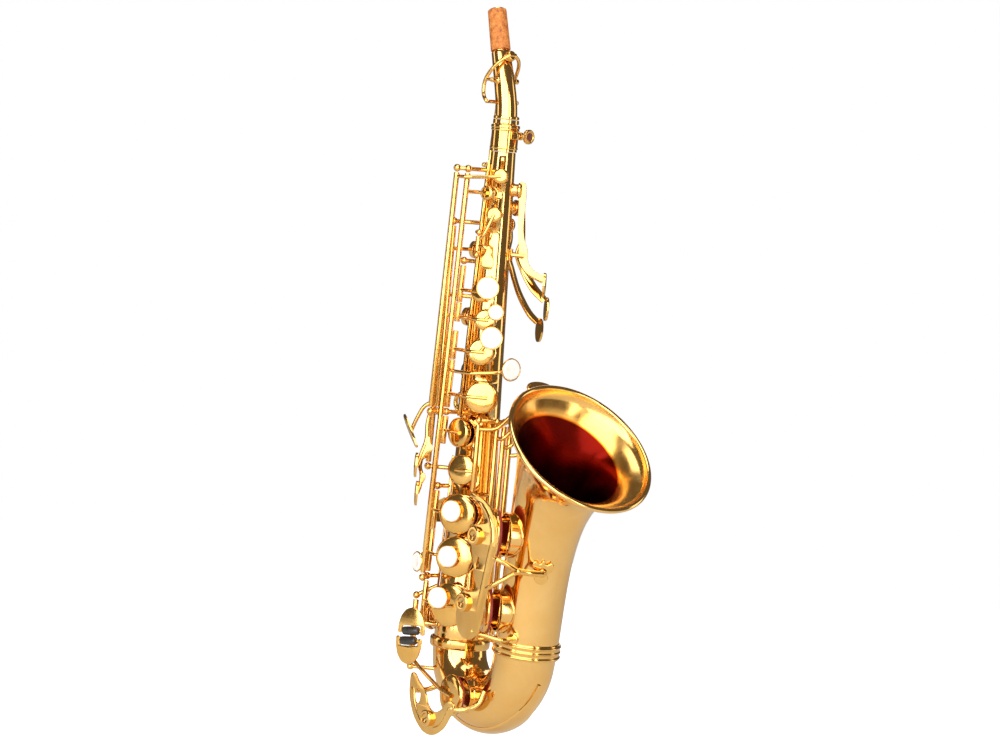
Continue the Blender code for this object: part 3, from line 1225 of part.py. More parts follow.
def back_fittings():
    # strap ring: an eye standing on a foot plate
    z = 150.0
    foot = box(at(-(rb(z) + 1.15), 0, z), at(0, 1, 0), at(-1, 0, 0), Vector((0, 0, 1)), (7.0, 1.4, 15.0))
    centre = STRAP_EYE
    eye = wire([centre + at(5.4 * math.cos(a), 0, 5.4 * math.sin(a))
                for a in (2 * math.pi * i / 14 for i in range(14))], 1.45, 8, cyclic=True)
    finish("strap_ring", [foot, eye, rod(at(-(rb(z) + 1.2), 0, z), at(-(rb(z) + 3.2), 0, z), 2.6, 10)],
           "brass")
    # thumb hook
    z = 82.0
    x, n = at(0, 1, 0), at(-1, 0, 0)
    base = box(at(-(rb(z) + 1.2), 0, z), x, n, Vector((0, 0, 1)), (10.0, 1.5, 18.0))
    profile = [at(-(rb(z) + 1.2), 0, z + 6), at(-(rb(z) + 8), 0, z + 7.0), at(-(rb(z) + 15), 0, z + 4.0),
               at(-(rb(z) + 18), 0, z - 3.0), at(-(rb(z) + 17), 0, z - 9.0)]
    sections = []
    for i, p in enumerate(profile):
        d = (profile[min(i + 1, 4)] - profile[max(i - 1, 0)]).normalized()
        up = d.cross(x).normalized()
        w = 5.0 if i < 4 else 3.6
        sections.append([p + x * w + up * 0.9, p - x * w + up * 0.9, p - x * w - up * 0.9,
                         p + x * w - up * 0.9])
    finish("thumb_hook", [base, sweep(sections)], "brass")
    # left thumb rest
    z = 171.0
    rest = turned([(0, 4.6), (5.2, 4.4), (6.4, 3.2), (6.4, 2.2), (4.0, 1.6), (4.0, 0.0), (0, 0)],
                  at(-(rb(z) + 0.8), 0, z), at(-1, 0, 0), 18)
    finish("thumb_rest", [rest], "black")


body_tube()
bow()
bell()
receiver()
neck()
band("body_bow_ring", at(0, 0, 1.7), Vector((0, 0, 1)), 17.25, 18.9, 3.2)
centre, direction = bell_point(0.02)
band("bell_bow_ring", centre, direction, 19.65, 21.2, 5.0, beads=True)
right_posts()
front_posts()
palm_posts()
stack_keys()
side_keys()
palm_keys()
left_hand_keys()
little_finger_keys()
octave_keys()
guards()
bell_brace()
back_fittings()
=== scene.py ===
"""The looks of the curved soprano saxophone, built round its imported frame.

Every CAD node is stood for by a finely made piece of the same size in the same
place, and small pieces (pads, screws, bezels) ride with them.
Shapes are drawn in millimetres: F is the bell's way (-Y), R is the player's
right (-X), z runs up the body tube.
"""

import json
import math

import bmesh
import bpy
from mathutils import Matrix, Vector
from mathutils.bvhtree import BVHTree
from mathutils.geometry import barycentric_transform

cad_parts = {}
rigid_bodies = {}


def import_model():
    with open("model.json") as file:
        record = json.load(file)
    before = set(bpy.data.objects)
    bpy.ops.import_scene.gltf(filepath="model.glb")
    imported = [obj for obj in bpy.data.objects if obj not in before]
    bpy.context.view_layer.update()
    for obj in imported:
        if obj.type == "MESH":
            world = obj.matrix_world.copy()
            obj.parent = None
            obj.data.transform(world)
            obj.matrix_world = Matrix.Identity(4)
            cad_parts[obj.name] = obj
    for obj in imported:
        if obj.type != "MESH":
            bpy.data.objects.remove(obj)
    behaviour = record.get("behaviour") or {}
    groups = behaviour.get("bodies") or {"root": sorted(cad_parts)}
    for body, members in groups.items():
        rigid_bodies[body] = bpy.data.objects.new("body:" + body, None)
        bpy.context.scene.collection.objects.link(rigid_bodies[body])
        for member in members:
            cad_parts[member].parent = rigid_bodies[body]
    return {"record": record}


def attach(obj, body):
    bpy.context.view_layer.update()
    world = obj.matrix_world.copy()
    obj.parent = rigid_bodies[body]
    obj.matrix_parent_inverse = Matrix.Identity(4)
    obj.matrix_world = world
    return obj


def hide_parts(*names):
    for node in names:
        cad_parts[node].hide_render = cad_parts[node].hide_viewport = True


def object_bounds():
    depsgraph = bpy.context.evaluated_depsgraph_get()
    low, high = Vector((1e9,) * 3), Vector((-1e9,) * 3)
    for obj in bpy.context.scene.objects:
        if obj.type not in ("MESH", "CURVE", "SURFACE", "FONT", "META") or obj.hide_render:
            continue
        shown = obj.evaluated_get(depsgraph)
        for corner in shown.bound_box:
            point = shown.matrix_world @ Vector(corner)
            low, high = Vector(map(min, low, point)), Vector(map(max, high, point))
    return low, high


for old in list(bpy.data.objects):
    bpy.data.objects.remove(old, do_unlink=True)
frame_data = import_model()
CAD_LOW, CAD_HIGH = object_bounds()
BODY_OF = {node: body for body, nodes in frame_data["record"]["behaviour"]["bodies"].items()
           for node in nodes}

# ---------------------------------------------------------------- dimensions
MM = 0.001
BODY_BOTTOM_RADIUS = 16.8
BODY_TAPER = 0.0296
BODY_LENGTH = 309.0
WALL = 1.0
SEAT_GAP = 0.4            # closed cup to the rim of its tone hole
CHIMNEY_RISE = 2.5        # rim of a tone hole above the tube
CUP_HEIGHT = 4.2
STACK_ANGLE = 110.0       # the stack rods, from the front towards the right
STACK_HEIGHT = 9.5        # stack rods above the tube
TUBE_R = 1.8              # hinge tubes
ARM_R = 1.15
POST_R = 1.3
BALL_R = 2.4
STACK_TRAVEL = 3.0
SIDE_TRAVEL = 2.6
BELL_TRAVEL = 4.2

RECEIVER_OUT = 8.4
RECEIVER_IN = 6.7
TENON_OUT = 6.35
TENON_IN = 5.3

BOW_END = (67.8, 7.0)
BOW_DEPTH = 32.5
BELL_START = (68.0, 7.4)
RIM_CENTRE = (102.4, 135.7)
RIM_NORMAL = (0.695, 0.719)
RIM_RADIUS = 48.0
RIM_ROLL = 1.6
BELL_SIDE_ANGLE = 110.0   # the way the bell's two tone holes face



JOINTS = {}
ORIGIN = Vector((0.0, 0.0, 0.0))

SMALL = {}


# ----------------------------------------------------------------- materials
def nodes_of(name):
    made = bpy.data.materials.new(name)
    made.use_nodes = True
    tree = made.node_tree
    return made, tree, tree.nodes["Principled BSDF"]


def noise(tree, scale, detail=4.0, rough=0.55, distortion=0.0, space=None):
    n = tree.nodes.new("ShaderNodeTexNoise")
    n.inputs["Scale"].default_value = scale
    n.inputs["Detail"].default_value = detail
    n.inputs["Roughness"].default_value = rough
    n.inputs["Distortion"].default_value = distortion
    if space is not None:
        tree.links.new(space, n.inputs["Vector"])
    return n


def place_of(tree, scale=(1.0, 1.0, 1.0)):
    c = tree.nodes.new("ShaderNodeTexCoord")
    m = tree.nodes.new("ShaderNodeMapping")
    m.inputs["Scale"].default_value = scale
    tree.links.new(c.outputs["Object"], m.inputs["Vector"])
    return m.outputs["Vector"]


def ramp(tree, source, stops):
    r = tree.nodes.new("ShaderNodeValToRGB")
    r.color_ramp.elements[0].position = stops[0][0]
    r.color_ramp.elements[0].color = (*stops[0][1], 1.0)
    r.color_ramp.elements[1].position = stops[-1][0]
    r.color_ramp.elements[1].color = (*stops[-1][1], 1.0)
    for at_, colour in stops[1:-1]:
        e = r.color_ramp.elements.new(at_)
        e.color = (*colour, 1.0)
    tree.links.new(source, r.inputs["Fac"])
    return r


def span(tree, source, low, high, from_low=0.3, from_high=0.7):
    m = tree.nodes.new("ShaderNodeMapRange")
    m.inputs["From Min"].default_value = from_low
    m.inputs["From Max"].default_value = from_high
    m.inputs["To Min"].default_value = low
    m.inputs["To Max"].default_value = high
    tree.links.new(source, m.inputs["Value"])
    return m.outputs["Result"]


def bump(tree, shader, height, strength, distance):
    b = tree.nodes.new("ShaderNodeBump")
    b.inputs["Strength"].default_value = strength
    b.inputs["Distance"].default_value = distance
    tree.links.new(height, b.inputs["Height"])
    tree.links.new(b.outputs["Normal"], shader.inputs["Normal"])
    return b


def lacquer(name, light, deep, rough=0.13, spread=0.07, coat=0.55):
    """Gold lacquer over polished brass: warm cloudy colour, faint buffing lines."""
    made, tree, shader = nodes_of(name)
    space = place_of(tree)
    cloud = noise(tree, 38.0, 5.0, 0.6, 0.4, space)
    colour = ramp(tree, cloud.outputs["Fac"], [(0.3, deep), (0.7, light)])
    tree.links.new(colour.outputs["Color"], shader.inputs["Base Color"])
    shader.inputs["Metallic"].default_value = 1.0
    smear = noise(tree, 210.0, 6.0, 0.65, 0.0, space)
    tree.links.new(span(tree, smear.outputs["Fac"], rough, rough + spread), shader.inputs["Roughness"])
    shader.inputs["Coat Weight"].default_value = coat
    shader.inputs["Coat Roughness"].default_value = 0.06
    shader.inputs["Coat IOR"].default_value = 1.48
    shader.inputs["Coat Tint"].default_value = (1.0, 0.93, 0.80, 1.0)
    grain = noise(tree, 900.0, 3.0, 0.5, 0.0, space)
    bump(tree, shader, grain.outputs["Fac"], 0.05, 0.00003)
    return made


def bell_inside_painted_shade(name):
    """The throat of the bell: lacquer whose colour runs with depth from an orange lip to a deep red; the deepening is
    painted shade and painted reflection, and the bright orange band between is a painted highlight.
    """
    made, tree, shader = nodes_of(name)
    depth = tree.nodes.new("ShaderNodeAttribute")
    depth.attribute_name = "depth"
    space = place_of(tree)
    cloud = noise(tree, 30.0, 4.0, 0.6, 0.6, space)
    mix = tree.nodes.new("ShaderNodeMath")
    mix.operation = "MULTIPLY_ADD"
    tree.links.new(cloud.outputs["Fac"], mix.inputs[0])
    mix.inputs[1].default_value = 0.008
    tree.links.new(depth.outputs["Fac"], mix.inputs[2])
    # colour by depth: the bright orange band is a painted highlight and the dark red further in is painted shade over
    # the lacquer
    colour = ramp(tree, mix.outputs["Value"], [
        (0.00, (0.90, 0.56, 0.18)), (0.094, (0.84, 0.44, 0.10)), (0.101, (0.98, 0.56, 0.12)),
        (0.111, (0.92, 0.22, 0.012)), (0.117, (0.115, 0.003, 0.001)), (0.30, (0.075, 0.001, 0.0005)),
        (0.9, (0.02, 0.0005, 0.0005))])
    tree.links.new(colour.outputs["Color"], shader.inputs["Base Color"])
    shader.inputs["Metallic"].default_value = 1.0
    smear = noise(tree, 160.0, 5.0, 0.6, 0.0, space)
    tree.links.new(span(tree, smear.outputs["Fac"], 0.16, 0.27), shader.inputs["Roughness"])
    shader.inputs["Coat Weight"].default_value = 0.03
    shader.inputs["Coat Roughness"].default_value = 0.12
    grain = noise(tree, 700.0, 3.0, 0.5, 0.0, space)
    bump(tree, shader, grain.outputs["Fac"], 0.06, 0.00003)
    return made


def engraved(name, light, deep):
    """The bell's lacquer with a field of plain engraved scrollwork on its left and front; the cut lines are bumped in
    and coloured dark brown as painted shade in the grooves.
    """
    made, tree, shader = nodes_of(name)
    space = place_of(tree)
    cloud = noise(tree, 38.0, 5.0, 0.6, 0.4, space)
    colour = ramp(tree, cloud.outputs["Fac"], [(0.3, deep), (0.7, light)])
    field = tree.nodes.new("ShaderNodeAttribute")
    field.attribute_name = "field"
    wave = tree.nodes.new("ShaderNodeTexWave")
    wave.wave_type = "RINGS"
    wave.rings_direction = "SPHERICAL"
    wave.inputs["Scale"].default_value = 210.0
    wave.inputs["Distortion"].default_value = 22.0
    wave.inputs["Detail"].default_value = 1.0
    wave.inputs["Detail Scale"].default_value = 0.9
    tree.links.new(space, wave.inputs["Vector"])
    line = ramp(tree, wave.outputs["Fac"], [(0.0, (1, 1, 1)), (0.10, (0.9, 0.9, 0.9)), (0.20, (0, 0, 0)),
                                            (1.0, (0, 0, 0))])
    cutm = tree.nodes.new("ShaderNodeMath")
    cutm.operation = "MULTIPLY"
    tree.links.new(line.outputs["Color"], cutm.inputs[0])
    tree.links.new(field.outputs["Fac"], cutm.inputs[1])
    # the engraved lines take a dark brown: painted shade in the cuts
    mixc = tree.nodes.new("ShaderNodeMixRGB")
    mixc.inputs["Color2"].default_value = (0.34, 0.14, 0.035, 1.0)
    tree.links.new(cutm.outputs["Value"], mixc.inputs["Fac"])
    tree.links.new(colour.outputs["Color"], mixc.inputs["Color1"])
    tree.links.new(mixc.outputs["Color"], shader.inputs["Base Color"])
    shader.inputs["Metallic"].default_value = 1.0
    smear = noise(tree, 210.0, 6.0, 0.65, 0.0, space)
    tree.links.new(span(tree, smear.outputs["Fac"], 0.07, 0.13), shader.inputs["Roughness"])
    shader.inputs["Coat Weight"].default_value = 0.55
    shader.inputs["Coat Roughness"].default_value = 0.06
    shader.inputs["Coat IOR"].default_value = 1.48
    shader.inputs["Coat Tint"].default_value = (1.0, 0.93, 0.80, 1.0)
    inv = tree.nodes.new("ShaderNodeMath")
    inv.operation = "SUBTRACT"
    inv.inputs[0].default_value = 1.0
    tree.links.new(cutm.outputs["Value"], inv.inputs[1])
    bump(tree, shader, inv.outputs["Value"], 0.5, 0.00012)
    return made


def cork_look(name):
    made, tree, shader = nodes_of(name)
    space = place_of(tree)
    cells = tree.nodes.new("ShaderNodeTexVoronoi")
    cells.inputs["Scale"].default_value = 900.0
    tree.links.new(space, cells.inputs["Vector"])
    big = noise(tree, 420.0, 5.0, 0.7, 0.3, space)
    fleck = ramp(tree, big.outputs["Fac"], [
        (0.33, (0.10, 0.024, 0.006)), (0.40, (0.42, 0.125, 0.026)), (0.55, (0.62, 0.215, 0.045)),
        (0.68, (0.72, 0.30, 0.075)), (0.80, (0.46, 0.14, 0.028))])
    small = ramp(tree, cells.outputs["Distance"], [(0.05, (0.55, 0.5, 0.45)), (0.45, (1, 1, 1))])
    mixc = tree.nodes.new("ShaderNodeMixRGB")
    mixc.blend_type = "MULTIPLY"
    mixc.inputs["Fac"].default_value = 0.7
    tree.links.new(fleck.outputs["Color"], mixc.inputs["Color1"])
    tree.links.new(small.outputs["Color"], mixc.inputs["Color2"])
    tree.links.new(mixc.outputs["Color"], shader.inputs["Base Color"])
    tree.links.new(span(tree, big.outputs["Fac"], 0.62, 0.88), shader.inputs["Roughness"])
    bump(tree, shader, mixc.outputs["Color"], 0.6, 0.00018)
    return made


def pearl_look(name):
    """Mother-of-pearl: white with cloudy rose and green, under a clear gloss."""
    made, tree, shader = nodes_of(name)
    space = place_of(tree, (1.0, 1.0, 1.8))
    cloud = noise(tree, 190.0, 4.0, 0.55, 1.4, space)
    colour = ramp(tree, cloud.outputs["Fac"], [
        (0.30, (0.92, 0.82, 0.80)), (0.42, (0.97, 0.91, 0.89)), (0.5, (0.90, 0.93, 0.90)),
        (0.58, (0.98, 0.93, 0.91)), (0.72, (0.88, 0.83, 0.86))])
    tree.links.new(colour.outputs["Color"], shader.inputs["Base Color"])
    tree.links.new(span(tree, cloud.outputs["Fac"], 0.16, 0.30), shader.inputs["Roughness"])
    shader.inputs["Coat Weight"].default_value = 0.8
    shader.inputs["Coat Roughness"].default_value = 0.05
    shader.inputs["Subsurface Weight"].default_value = 0.12
    shader.inputs["Subsurface Radius"].default_value = (0.001, 0.0008, 0.0008)
    bump(tree, shader, cloud.outputs["Fac"], 0.08, 0.0001)
    return made


def leather_look(name, light, dark):
    made, tree, shader = nodes_of(name)
    space = place_of(tree)
    cells = tree.nodes.new("ShaderNodeTexVoronoi")
    cells.inputs["Scale"].default_value = 1600.0
    tree.links.new(space, cells.inputs["Vector"])
    big = noise(tree, 260.0, 5.0, 0.6, 0.0, space)
    colour = ramp(tree, big.outputs["Fac"], [(0.32, dark), (0.68, light)])
    tree.links.new(colour.outputs["Color"], shader.inputs["Base Color"])
    tree.links.new(span(tree, big.outputs["Fac"], 0.42, 0.62), shader.inputs["Roughness"])
    bump(tree, shader, cells.outputs["Distance"], 0.35, 0.00012)
    return made


def felt_look(name, light, dark):
    made, tree, shader = nodes_of(name)
    space = place_of(tree)
    big = noise(tree, 500.0, 8.0, 0.75, 0.8, space)
    colour = ramp(tree, big.outputs["Fac"], [(0.3, dark), (0.7, light)])
    tree.links.new(colour.outputs["Color"], shader.inputs["Base Color"])
    tree.links.new(span(tree, big.outputs["Fac"], 0.85, 1.0), shader.inputs["Roughness"])
    shader.inputs["Sheen Weight"].default_value = 0.5
    shader.inputs["Sheen Roughness"].default_value = 0.5
    bump(tree, shader, big.outputs["Fac"], 0.9, 0.0003)
    return made


def moulded(name, light, dark, rough):
    made, tree, shader = nodes_of(name)
    space = place_of(tree)
    big = noise(tree, 120.0, 4.0, 0.6, 0.0, space)
    colour = ramp(tree, big.outputs["Fac"], [(0.3, dark), (0.7, light)])
    tree.links.new(colour.outputs["Color"], shader.inputs["Base Color"])
    tree.links.new(span(tree, big.outputs["Fac"], rough, rough + 0.1), shader.inputs["Roughness"])
    shader.inputs["Coat Weight"].default_value = 0.3
    fine = noise(tree, 1500.0, 2.0, 0.5, 0.0, space)
    bump(tree, shader, fine.outputs["Fac"], 0.08, 0.00004)
    return made


def steel_look(name, light, dark, rough):
    made, tree, shader = nodes_of(name)
    space = place_of(tree)
    big = noise(tree, 300.0, 5.0, 0.6, 0.0, space)
    colour = ramp(tree, big.outputs["Fac"], [(0.3, dark), (0.7, light)])
    tree.links.new(colour.outputs["Color"], shader.inputs["Base Color"])
    shader.inputs["Metallic"].default_value = 1.0
    tree.links.new(span(tree, big.outputs["Fac"], rough, rough + 0.12), shader.inputs["Roughness"])
    bump(tree, shader, big.outputs["Fac"], 0.08, 0.00004)
    return made


GOLD_LIGHT, GOLD_DEEP = (0.93, 0.61, 0.20), (0.80, 0.455, 0.105)
BODY_LIGHT, BODY_DEEP = (0.96, 0.64, 0.24), (0.90, 0.53, 0.15)
LOOKS = {
    "brass": lacquer("key_lacquer", GOLD_LIGHT, GOLD_DEEP, 0.085),
    "body_brass": lacquer("body_lacquer", BODY_LIGHT, BODY_DEEP, 0.07),
    "bell_brass": engraved("bell_lacquer", BODY_LIGHT, BODY_DEEP),
    "bell_inside_painted_shade": bell_inside_painted_shade("bell_throat_painted_shade"),
    "pearl": pearl_look("mother_of_pearl"),
    "cork": cork_look("neck_cork_bark"),
    "black": moulded("black_roller", (0.035, 0.032, 0.030), (0.012, 0.011, 0.011), 0.22),
    "felt": felt_look("bumper_felt", (0.42, 0.39, 0.20), (0.20, 0.19, 0.08)),
    "pad": leather_look("pad_leather", (0.34, 0.030, 0.022), (0.20, 0.014, 0.010)),
    "cork_dot": felt_look("stop_cork", (0.50, 0.27, 0.11), (0.27, 0.12, 0.04)),
    "steel": steel_look("pivot_steel", (0.62, 0.56, 0.47), (0.42, 0.36, 0.29), 0.2),
    "blue_steel": steel_look("spring_steel", (0.16, 0.18, 0.25), (0.07, 0.08, 0.13), 0.25),
    "dark": moulded("slot_shadow", (0.05, 0.026, 0.010), (0.02, 0.010, 0.005), 0.55),
    "dark_red": moulded("screw_cap", (0.16, 0.030, 0.016), (0.09, 0.014, 0.010), 0.25),
}


# ------------------------------------------------------------------- helpers
def at(front, right, z):
    """A point from its distance to the front, to the right and up."""
    return Vector((-right, -front, z))


def pol(angle, radius, z):
    """A point round the body: the angle goes from the front to the right."""
    a = math.radians(angle)
    return at(radius * math.cos(a), radius * math.sin(a), z)


def out(angle):
    return pol(angle, 1.0, 0.0)


def rb(z):
    """Outside radius of the body tube."""
    return BODY_BOTTOM_RADIUS - BODY_TAPER * z


def put(bm, matrix=None, name="piece"):
    if matrix is not None:
        bmesh.ops.transform(bm, matrix=matrix, verts=bm.verts)
    bmesh.ops.recalc_face_normals(bm, faces=bm.faces)
    mesh = bpy.data.meshes.new(name)
    bm.to_mesh(mesh)
    bm.free()
    obj = bpy.data.objects.new(name, mesh)
    bpy.context.scene.collection.objects.link(obj)
    return obj


def aim(point, direction):
    """A matrix that stands a shape's own Z along a direction at a point."""
    turn = direction.normalized().to_track_quat("Z", "Y").to_matrix().to_4x4()
    return Matrix.Translation(point) @ turn


def frame(point, x, y, z):
    m = Matrix((x.normalized(), y.normalized(), z.normalized())).transposed().to_4x4()
    return Matrix.Translation(point) @ m


def evaluated(obj, weld=0.0001):
    """The object's evaluated mesh as a plain mesh object; the object goes."""
    bpy.context.view_layer.update()
    graph = bpy.context.evaluated_depsgraph_get()
    mesh = bpy.data.meshes.new_from_object(obj.evaluated_get(graph))
    mesh.transform(obj.matrix_world)
    bpy.data.objects.remove(obj, do_unlink=True)
    bm = bmesh.new()
    bm.from_mesh(mesh)
    if weld:
        bmesh.ops.remove_doubles(bm, verts=bm.verts, dist=weld)
    bpy.data.meshes.remove(mesh)
    return put(bm)


def rounded(points, radius, closed=False, steps=3):
    """Points with each sharp corner cut back and turned through a short arc."""
    out_, n = [], len(points)
    for i, p in enumerate(points):
        if not closed and i in (0, n - 1):
            out_.append(p.copy())
            continue
        a, b = points[i - 1], points[(i + 1) % n]
        u, v = a - p, b - p
        if u.length < 1e-6 or v.length < 1e-6 or u.normalized().dot(v.normalized()) < -0.995:
            out_.append(p.copy())
            continue
        reach = min(radius, u.length * 0.46, v.length * 0.46)
        s, e = p + u.normalized() * reach, p + v.normalized() * reach
        for k in range(steps + 1):
            t = k / steps
            out_.append(s * (1 - t) ** 2 + p * 2 * t * (1 - t) + e * t * t)
    return out_


def lathe(profile, point, direction, steps=48, soften=0.22):
    """A turned shape from (radius, height) pairs, with its corners eased."""
    ring = len(profile) > 2 and profile[0] == profile[-1]
    flat_points = [Vector((r, h, 0.0)) for r, h in (profile[:-1] if ring else profile)]
    flat_points = rounded(flat_points, soften, ring)
    bm = bmesh.new()
    loops = []
    for p in flat_points:
        if p.x < 1e-6:
            loops.append([bm.verts.new((0, 0, p.y))])
        else:
            loops.append([bm.verts.new((p.x * math.cos(t), p.x * math.sin(t), p.y))
                          for t in (2 * math.pi * i / steps for i in range(steps))])
    pairs = list(zip(loops, loops[1:] + loops[:1])) if ring else list(zip(loops, loops[1:]))
    for a, b in pairs:
        for i in range(steps):
            j = (i + 1) % steps
            corner = [a[i % len(a)], a[j % len(a)], b[j % len(b)], b[i % len(b)]]
            unique = []
            for v in corner:
                if v not in unique:
                    unique.append(v)
            if len(unique) > 2:
                bm.faces.new(unique)
    return put(bm, aim(point, direction))


def turned(profile, point, direction, steps=16):
    widest = max(r for r, _ in profile)
    return lathe(profile, point, direction, 96 if widest > 12 else 56 if widest > 4 else 32)


def rod(a, b, radius, sides=6, radius_b=None):
    far = radius if radius_b is None else radius_b
    length = (b - a).length
    return lathe([(0, 0), (radius, 0), (far, length), (0, length)], a, b - a,
                 96 if radius > 12 else 48 if radius > 4 else 24, min(0.3, radius * 0.25))


def ball(point, radius, sides=6):
    bm = bmesh.new()
    bmesh.ops.create_uvsphere(bm, u_segments=24, v_segments=16, radius=radius * 0.97)
    return put(bm, Matrix.Translation(point))


def soften_edges(obj, width):
    modifier = obj.modifiers.new("Bevel", "BEVEL")
    modifier.width = width
    modifier.segments = 3
    modifier.limit_method = "ANGLE"
    modifier.angle_limit = math.radians(35)
    return evaluated(obj, 0)


def box(point, x, y, z, size):
    bm = bmesh.new()
    bmesh.ops.create_cube(bm, size=1.0)
    bmesh.ops.scale(bm, vec=size, verts=bm.verts)
    return soften_edges(put(bm, frame(point, x, y, z)), min(size) * 0.22)


def wire(points, radius, sides=6, cyclic=False, smooth=False, taper=None, flatten=None):
    """A round bar along points, its bends eased."""
    path = rounded([Vector(p) for p in points], radius * 3.2, cyclic, 5)
    curve = bpy.data.curves.new("wire", "CURVE")
    curve.dimensions = "3D"
    curve.bevel_depth = radius
    curve.bevel_resolution = 4
    curve.use_fill_caps = True
    spline = curve.splines.new("POLY")
    spline.points.add(len(path) - 1)
    for i, (knot, point) in enumerate(zip(spline.points, path)):
        knot.co = (*point, 1.0)
        if taper:
            t = i / max(1, len(path) - 1)
            knot.radius = taper[0] + (taper[1] - taper[0]) * t
    spline.use_cyclic_u = cyclic
    obj = bpy.data.objects.new("wire", curve)
    bpy.context.scene.collection.objects.link(obj)
    return evaluated(obj)


def flat(outline, thickness, matrix, smooth=False, holes=(), ease=0.32):
    """A plate from a flat outline with rounded edges, on the XY plane of a matrix."""
    ease = min(ease, thickness * 0.4)
    curve = bpy.data.curves.new("flat", "CURVE")
    curve.dimensions = "2D"
    curve.fill_mode = "BOTH"
    curve.extrude = thickness / 2 - ease
    curve.bevel_depth = ease
    curve.bevel_resolution = 3
    curve.offset = -ease
    curve.resolution_u = 10
    for loop in (outline, *holes):
        if smooth:
            spline = curve.splines.new("BEZIER")
            spline.bezier_points.add(len(loop) - 1)
            for knot, (x, y) in zip(spline.bezier_points, loop):
                knot.co = (x, y, 0)
                knot.handle_left_type = knot.handle_right_type = "AUTO"
        else:
            path = rounded([Vector((x, y, 0)) for x, y in loop], 1.6, True, 4)
            spline = curve.splines.new("POLY")
            spline.points.add(len(path) - 1)
            for knot, p in zip(spline.points, path):
                knot.co = (p.x, p.y, 0, 1)
        spline.use_cyclic_u = True
    obj = bpy.data.objects.new("flat", curve)
    bpy.context.scene.collection.objects.link(obj)
    obj.matrix_world = matrix
    return evaluated(obj)


def sweep(sections, closed=False):
    """A ring of points carried from section to section, with ends filled."""
    bm = bmesh.new()
    rows = [[bm.verts.new(p) for p in section] for section in sections]
    if closed:
        for v in rows[-1]:
            bm.verts.remove(v)
        rows[-1] = rows[0]
    n = len(rows[0])
    for a, b in zip(rows, rows[1:]):
        for i in range(n):
            j = (i + 1) % n
            bm.faces.new((a[i], a[j], b[j], b[i]))
    if not closed:
        bm.faces.new(rows[0])
        bm.faces.new(rows[-1][::-1])
    return put(bm)


def eased(values, t):
    """A smooth curve through values at 0, 1, 2 ... (Catmull-Rom)."""
    i = max(0, min(int(t), len(values) - 2))
    u = t - i
    b, c = values[i], values[i + 1]
    a = values[i - 1] if i > 0 else b * 2 - c
    d = values[i + 2] if i + 2 < len(values) else c * 2 - b
    return 0.5 * ((2 * b) + (c - a) * u + (2 * a - 5 * b + 4 * c - d) * u * u
                  + (3 * b - a - 3 * c + d) * u * u * u)


def finer(path, count):
    """A (centre, direction, radius) path read again at more stations."""
    n = len(path) - 1
    made = []
    for k in range(count + 1):
        t = n * k / count
        made.append([eased([p[0] for p in path], t), None, eased([p[2] for p in path], t)])
    for k in range(1, count):
        made[k][1] = (made[k + 1][0] - made[k - 1][0]).normalized()
    made[0][1], made[-1][1] = path[0][1], path[-1][1]
    return [tuple(m) for m in made]


def rings(path, count):
    """Round sections along (centre, direction, radius) triples, in the F-z plane."""
    side = at(0.0, 1.0, 0.0)
    sections = []
    for centre, direction, radius in path:
        up = direction.normalized().cross(side)
        sections.append([centre + radius * (side * math.cos(t) + up * math.sin(t))
                         for t in (2 * math.pi * i / count for i in range(count))])
    return sections


def boolean(base, others, operation):
    for other in others:
        modifier = base.modifiers.new("Boolean", "BOOLEAN")
        modifier.operation = operation
        modifier.solver = "EXACT"
        modifier.object = other
    result = evaluated(base, 0)
    for other in others:
        bpy.data.objects.remove(other, do_unlink=True)
    return result


def fuse(pieces):
    """Pieces as one mesh. They overlap where the metal is soldered."""
    bm = bmesh.new()
    for piece in pieces:
        bm.from_mesh(piece.data)
    for piece in pieces:
        bpy.data.objects.remove(piece, do_unlink=True)
    mesh = bpy.data.meshes.new("joined")
    bm.to_mesh(mesh)
    bm.free()
    obj = bpy.data.objects.new("joined", mesh)
    bpy.context.scene.collection.objects.link(obj)
    return obj


def cut(base, cutters):
    return boolean(base, cutters, "DIFFERENCE")


def bore_out(clean, cutters):
    """Cuts holes in a smooth skin and keeps the skin's own shading round them."""
    keep = clean.data.copy()
    keep.calc_loop_triangles()
    spots = [v.co.copy() for v in keep.vertices]
    leans = [v.normal.copy() for v in keep.vertices]
    tris = [tuple(t.vertices) for t in keep.loop_triangles]
    tree = BVHTree.FromPolygons(spots, tris)
    obj = cut(clean, cutters)
    mesh = obj.data
    mesh.shade_smooth()
    wanted = []
    for poly in mesh.polygons:
        for li in poly.loop_indices:
            co = mesh.vertices[mesh.loops[li].vertex_index].co
            near = tree.find_nearest(co, 0.05)
            lean = None
            if near[0] is not None:
                a, b, c = tris[near[2]]
                lean = barycentric_transform(near[0], spots[a], spots[b], spots[c],
                                             leans[a], leans[b], leans[c]).normalized()
                if lean.dot(poly.normal) < 0.9:
                    lean = None
            wanted.append(lean if lean is not None else poly.normal.copy())
    mesh.normals_split_custom_set(wanted)
    obj["own_normals"] = True
    return obj


def small(look, *pieces):
    SMALL.setdefault(look, []).extend(pieces)


def show(name, pieces, look, body, turn=None, replaces=None, angle=32.0):
    own = len(pieces) == 1 and "own_normals" in pieces[0]
    obj = pieces[0] if len(pieces) == 1 else fuse(pieces)
    if turn is not None:
        obj.data.transform(turn)
    obj.data.transform(Matrix.Scale(MM, 4) @ Matrix.Translation(-ORIGIN))
    obj.name = obj.data.name = name
    if not own:
        obj.data.shade_smooth()
        obj.data.set_sharp_from_angle(angle=math.radians(angle))
    if not obj.data.materials:
        obj.data.materials.append(LOOKS[look])
    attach(obj, body)
    if replaces:
        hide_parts(replaces)
    return obj


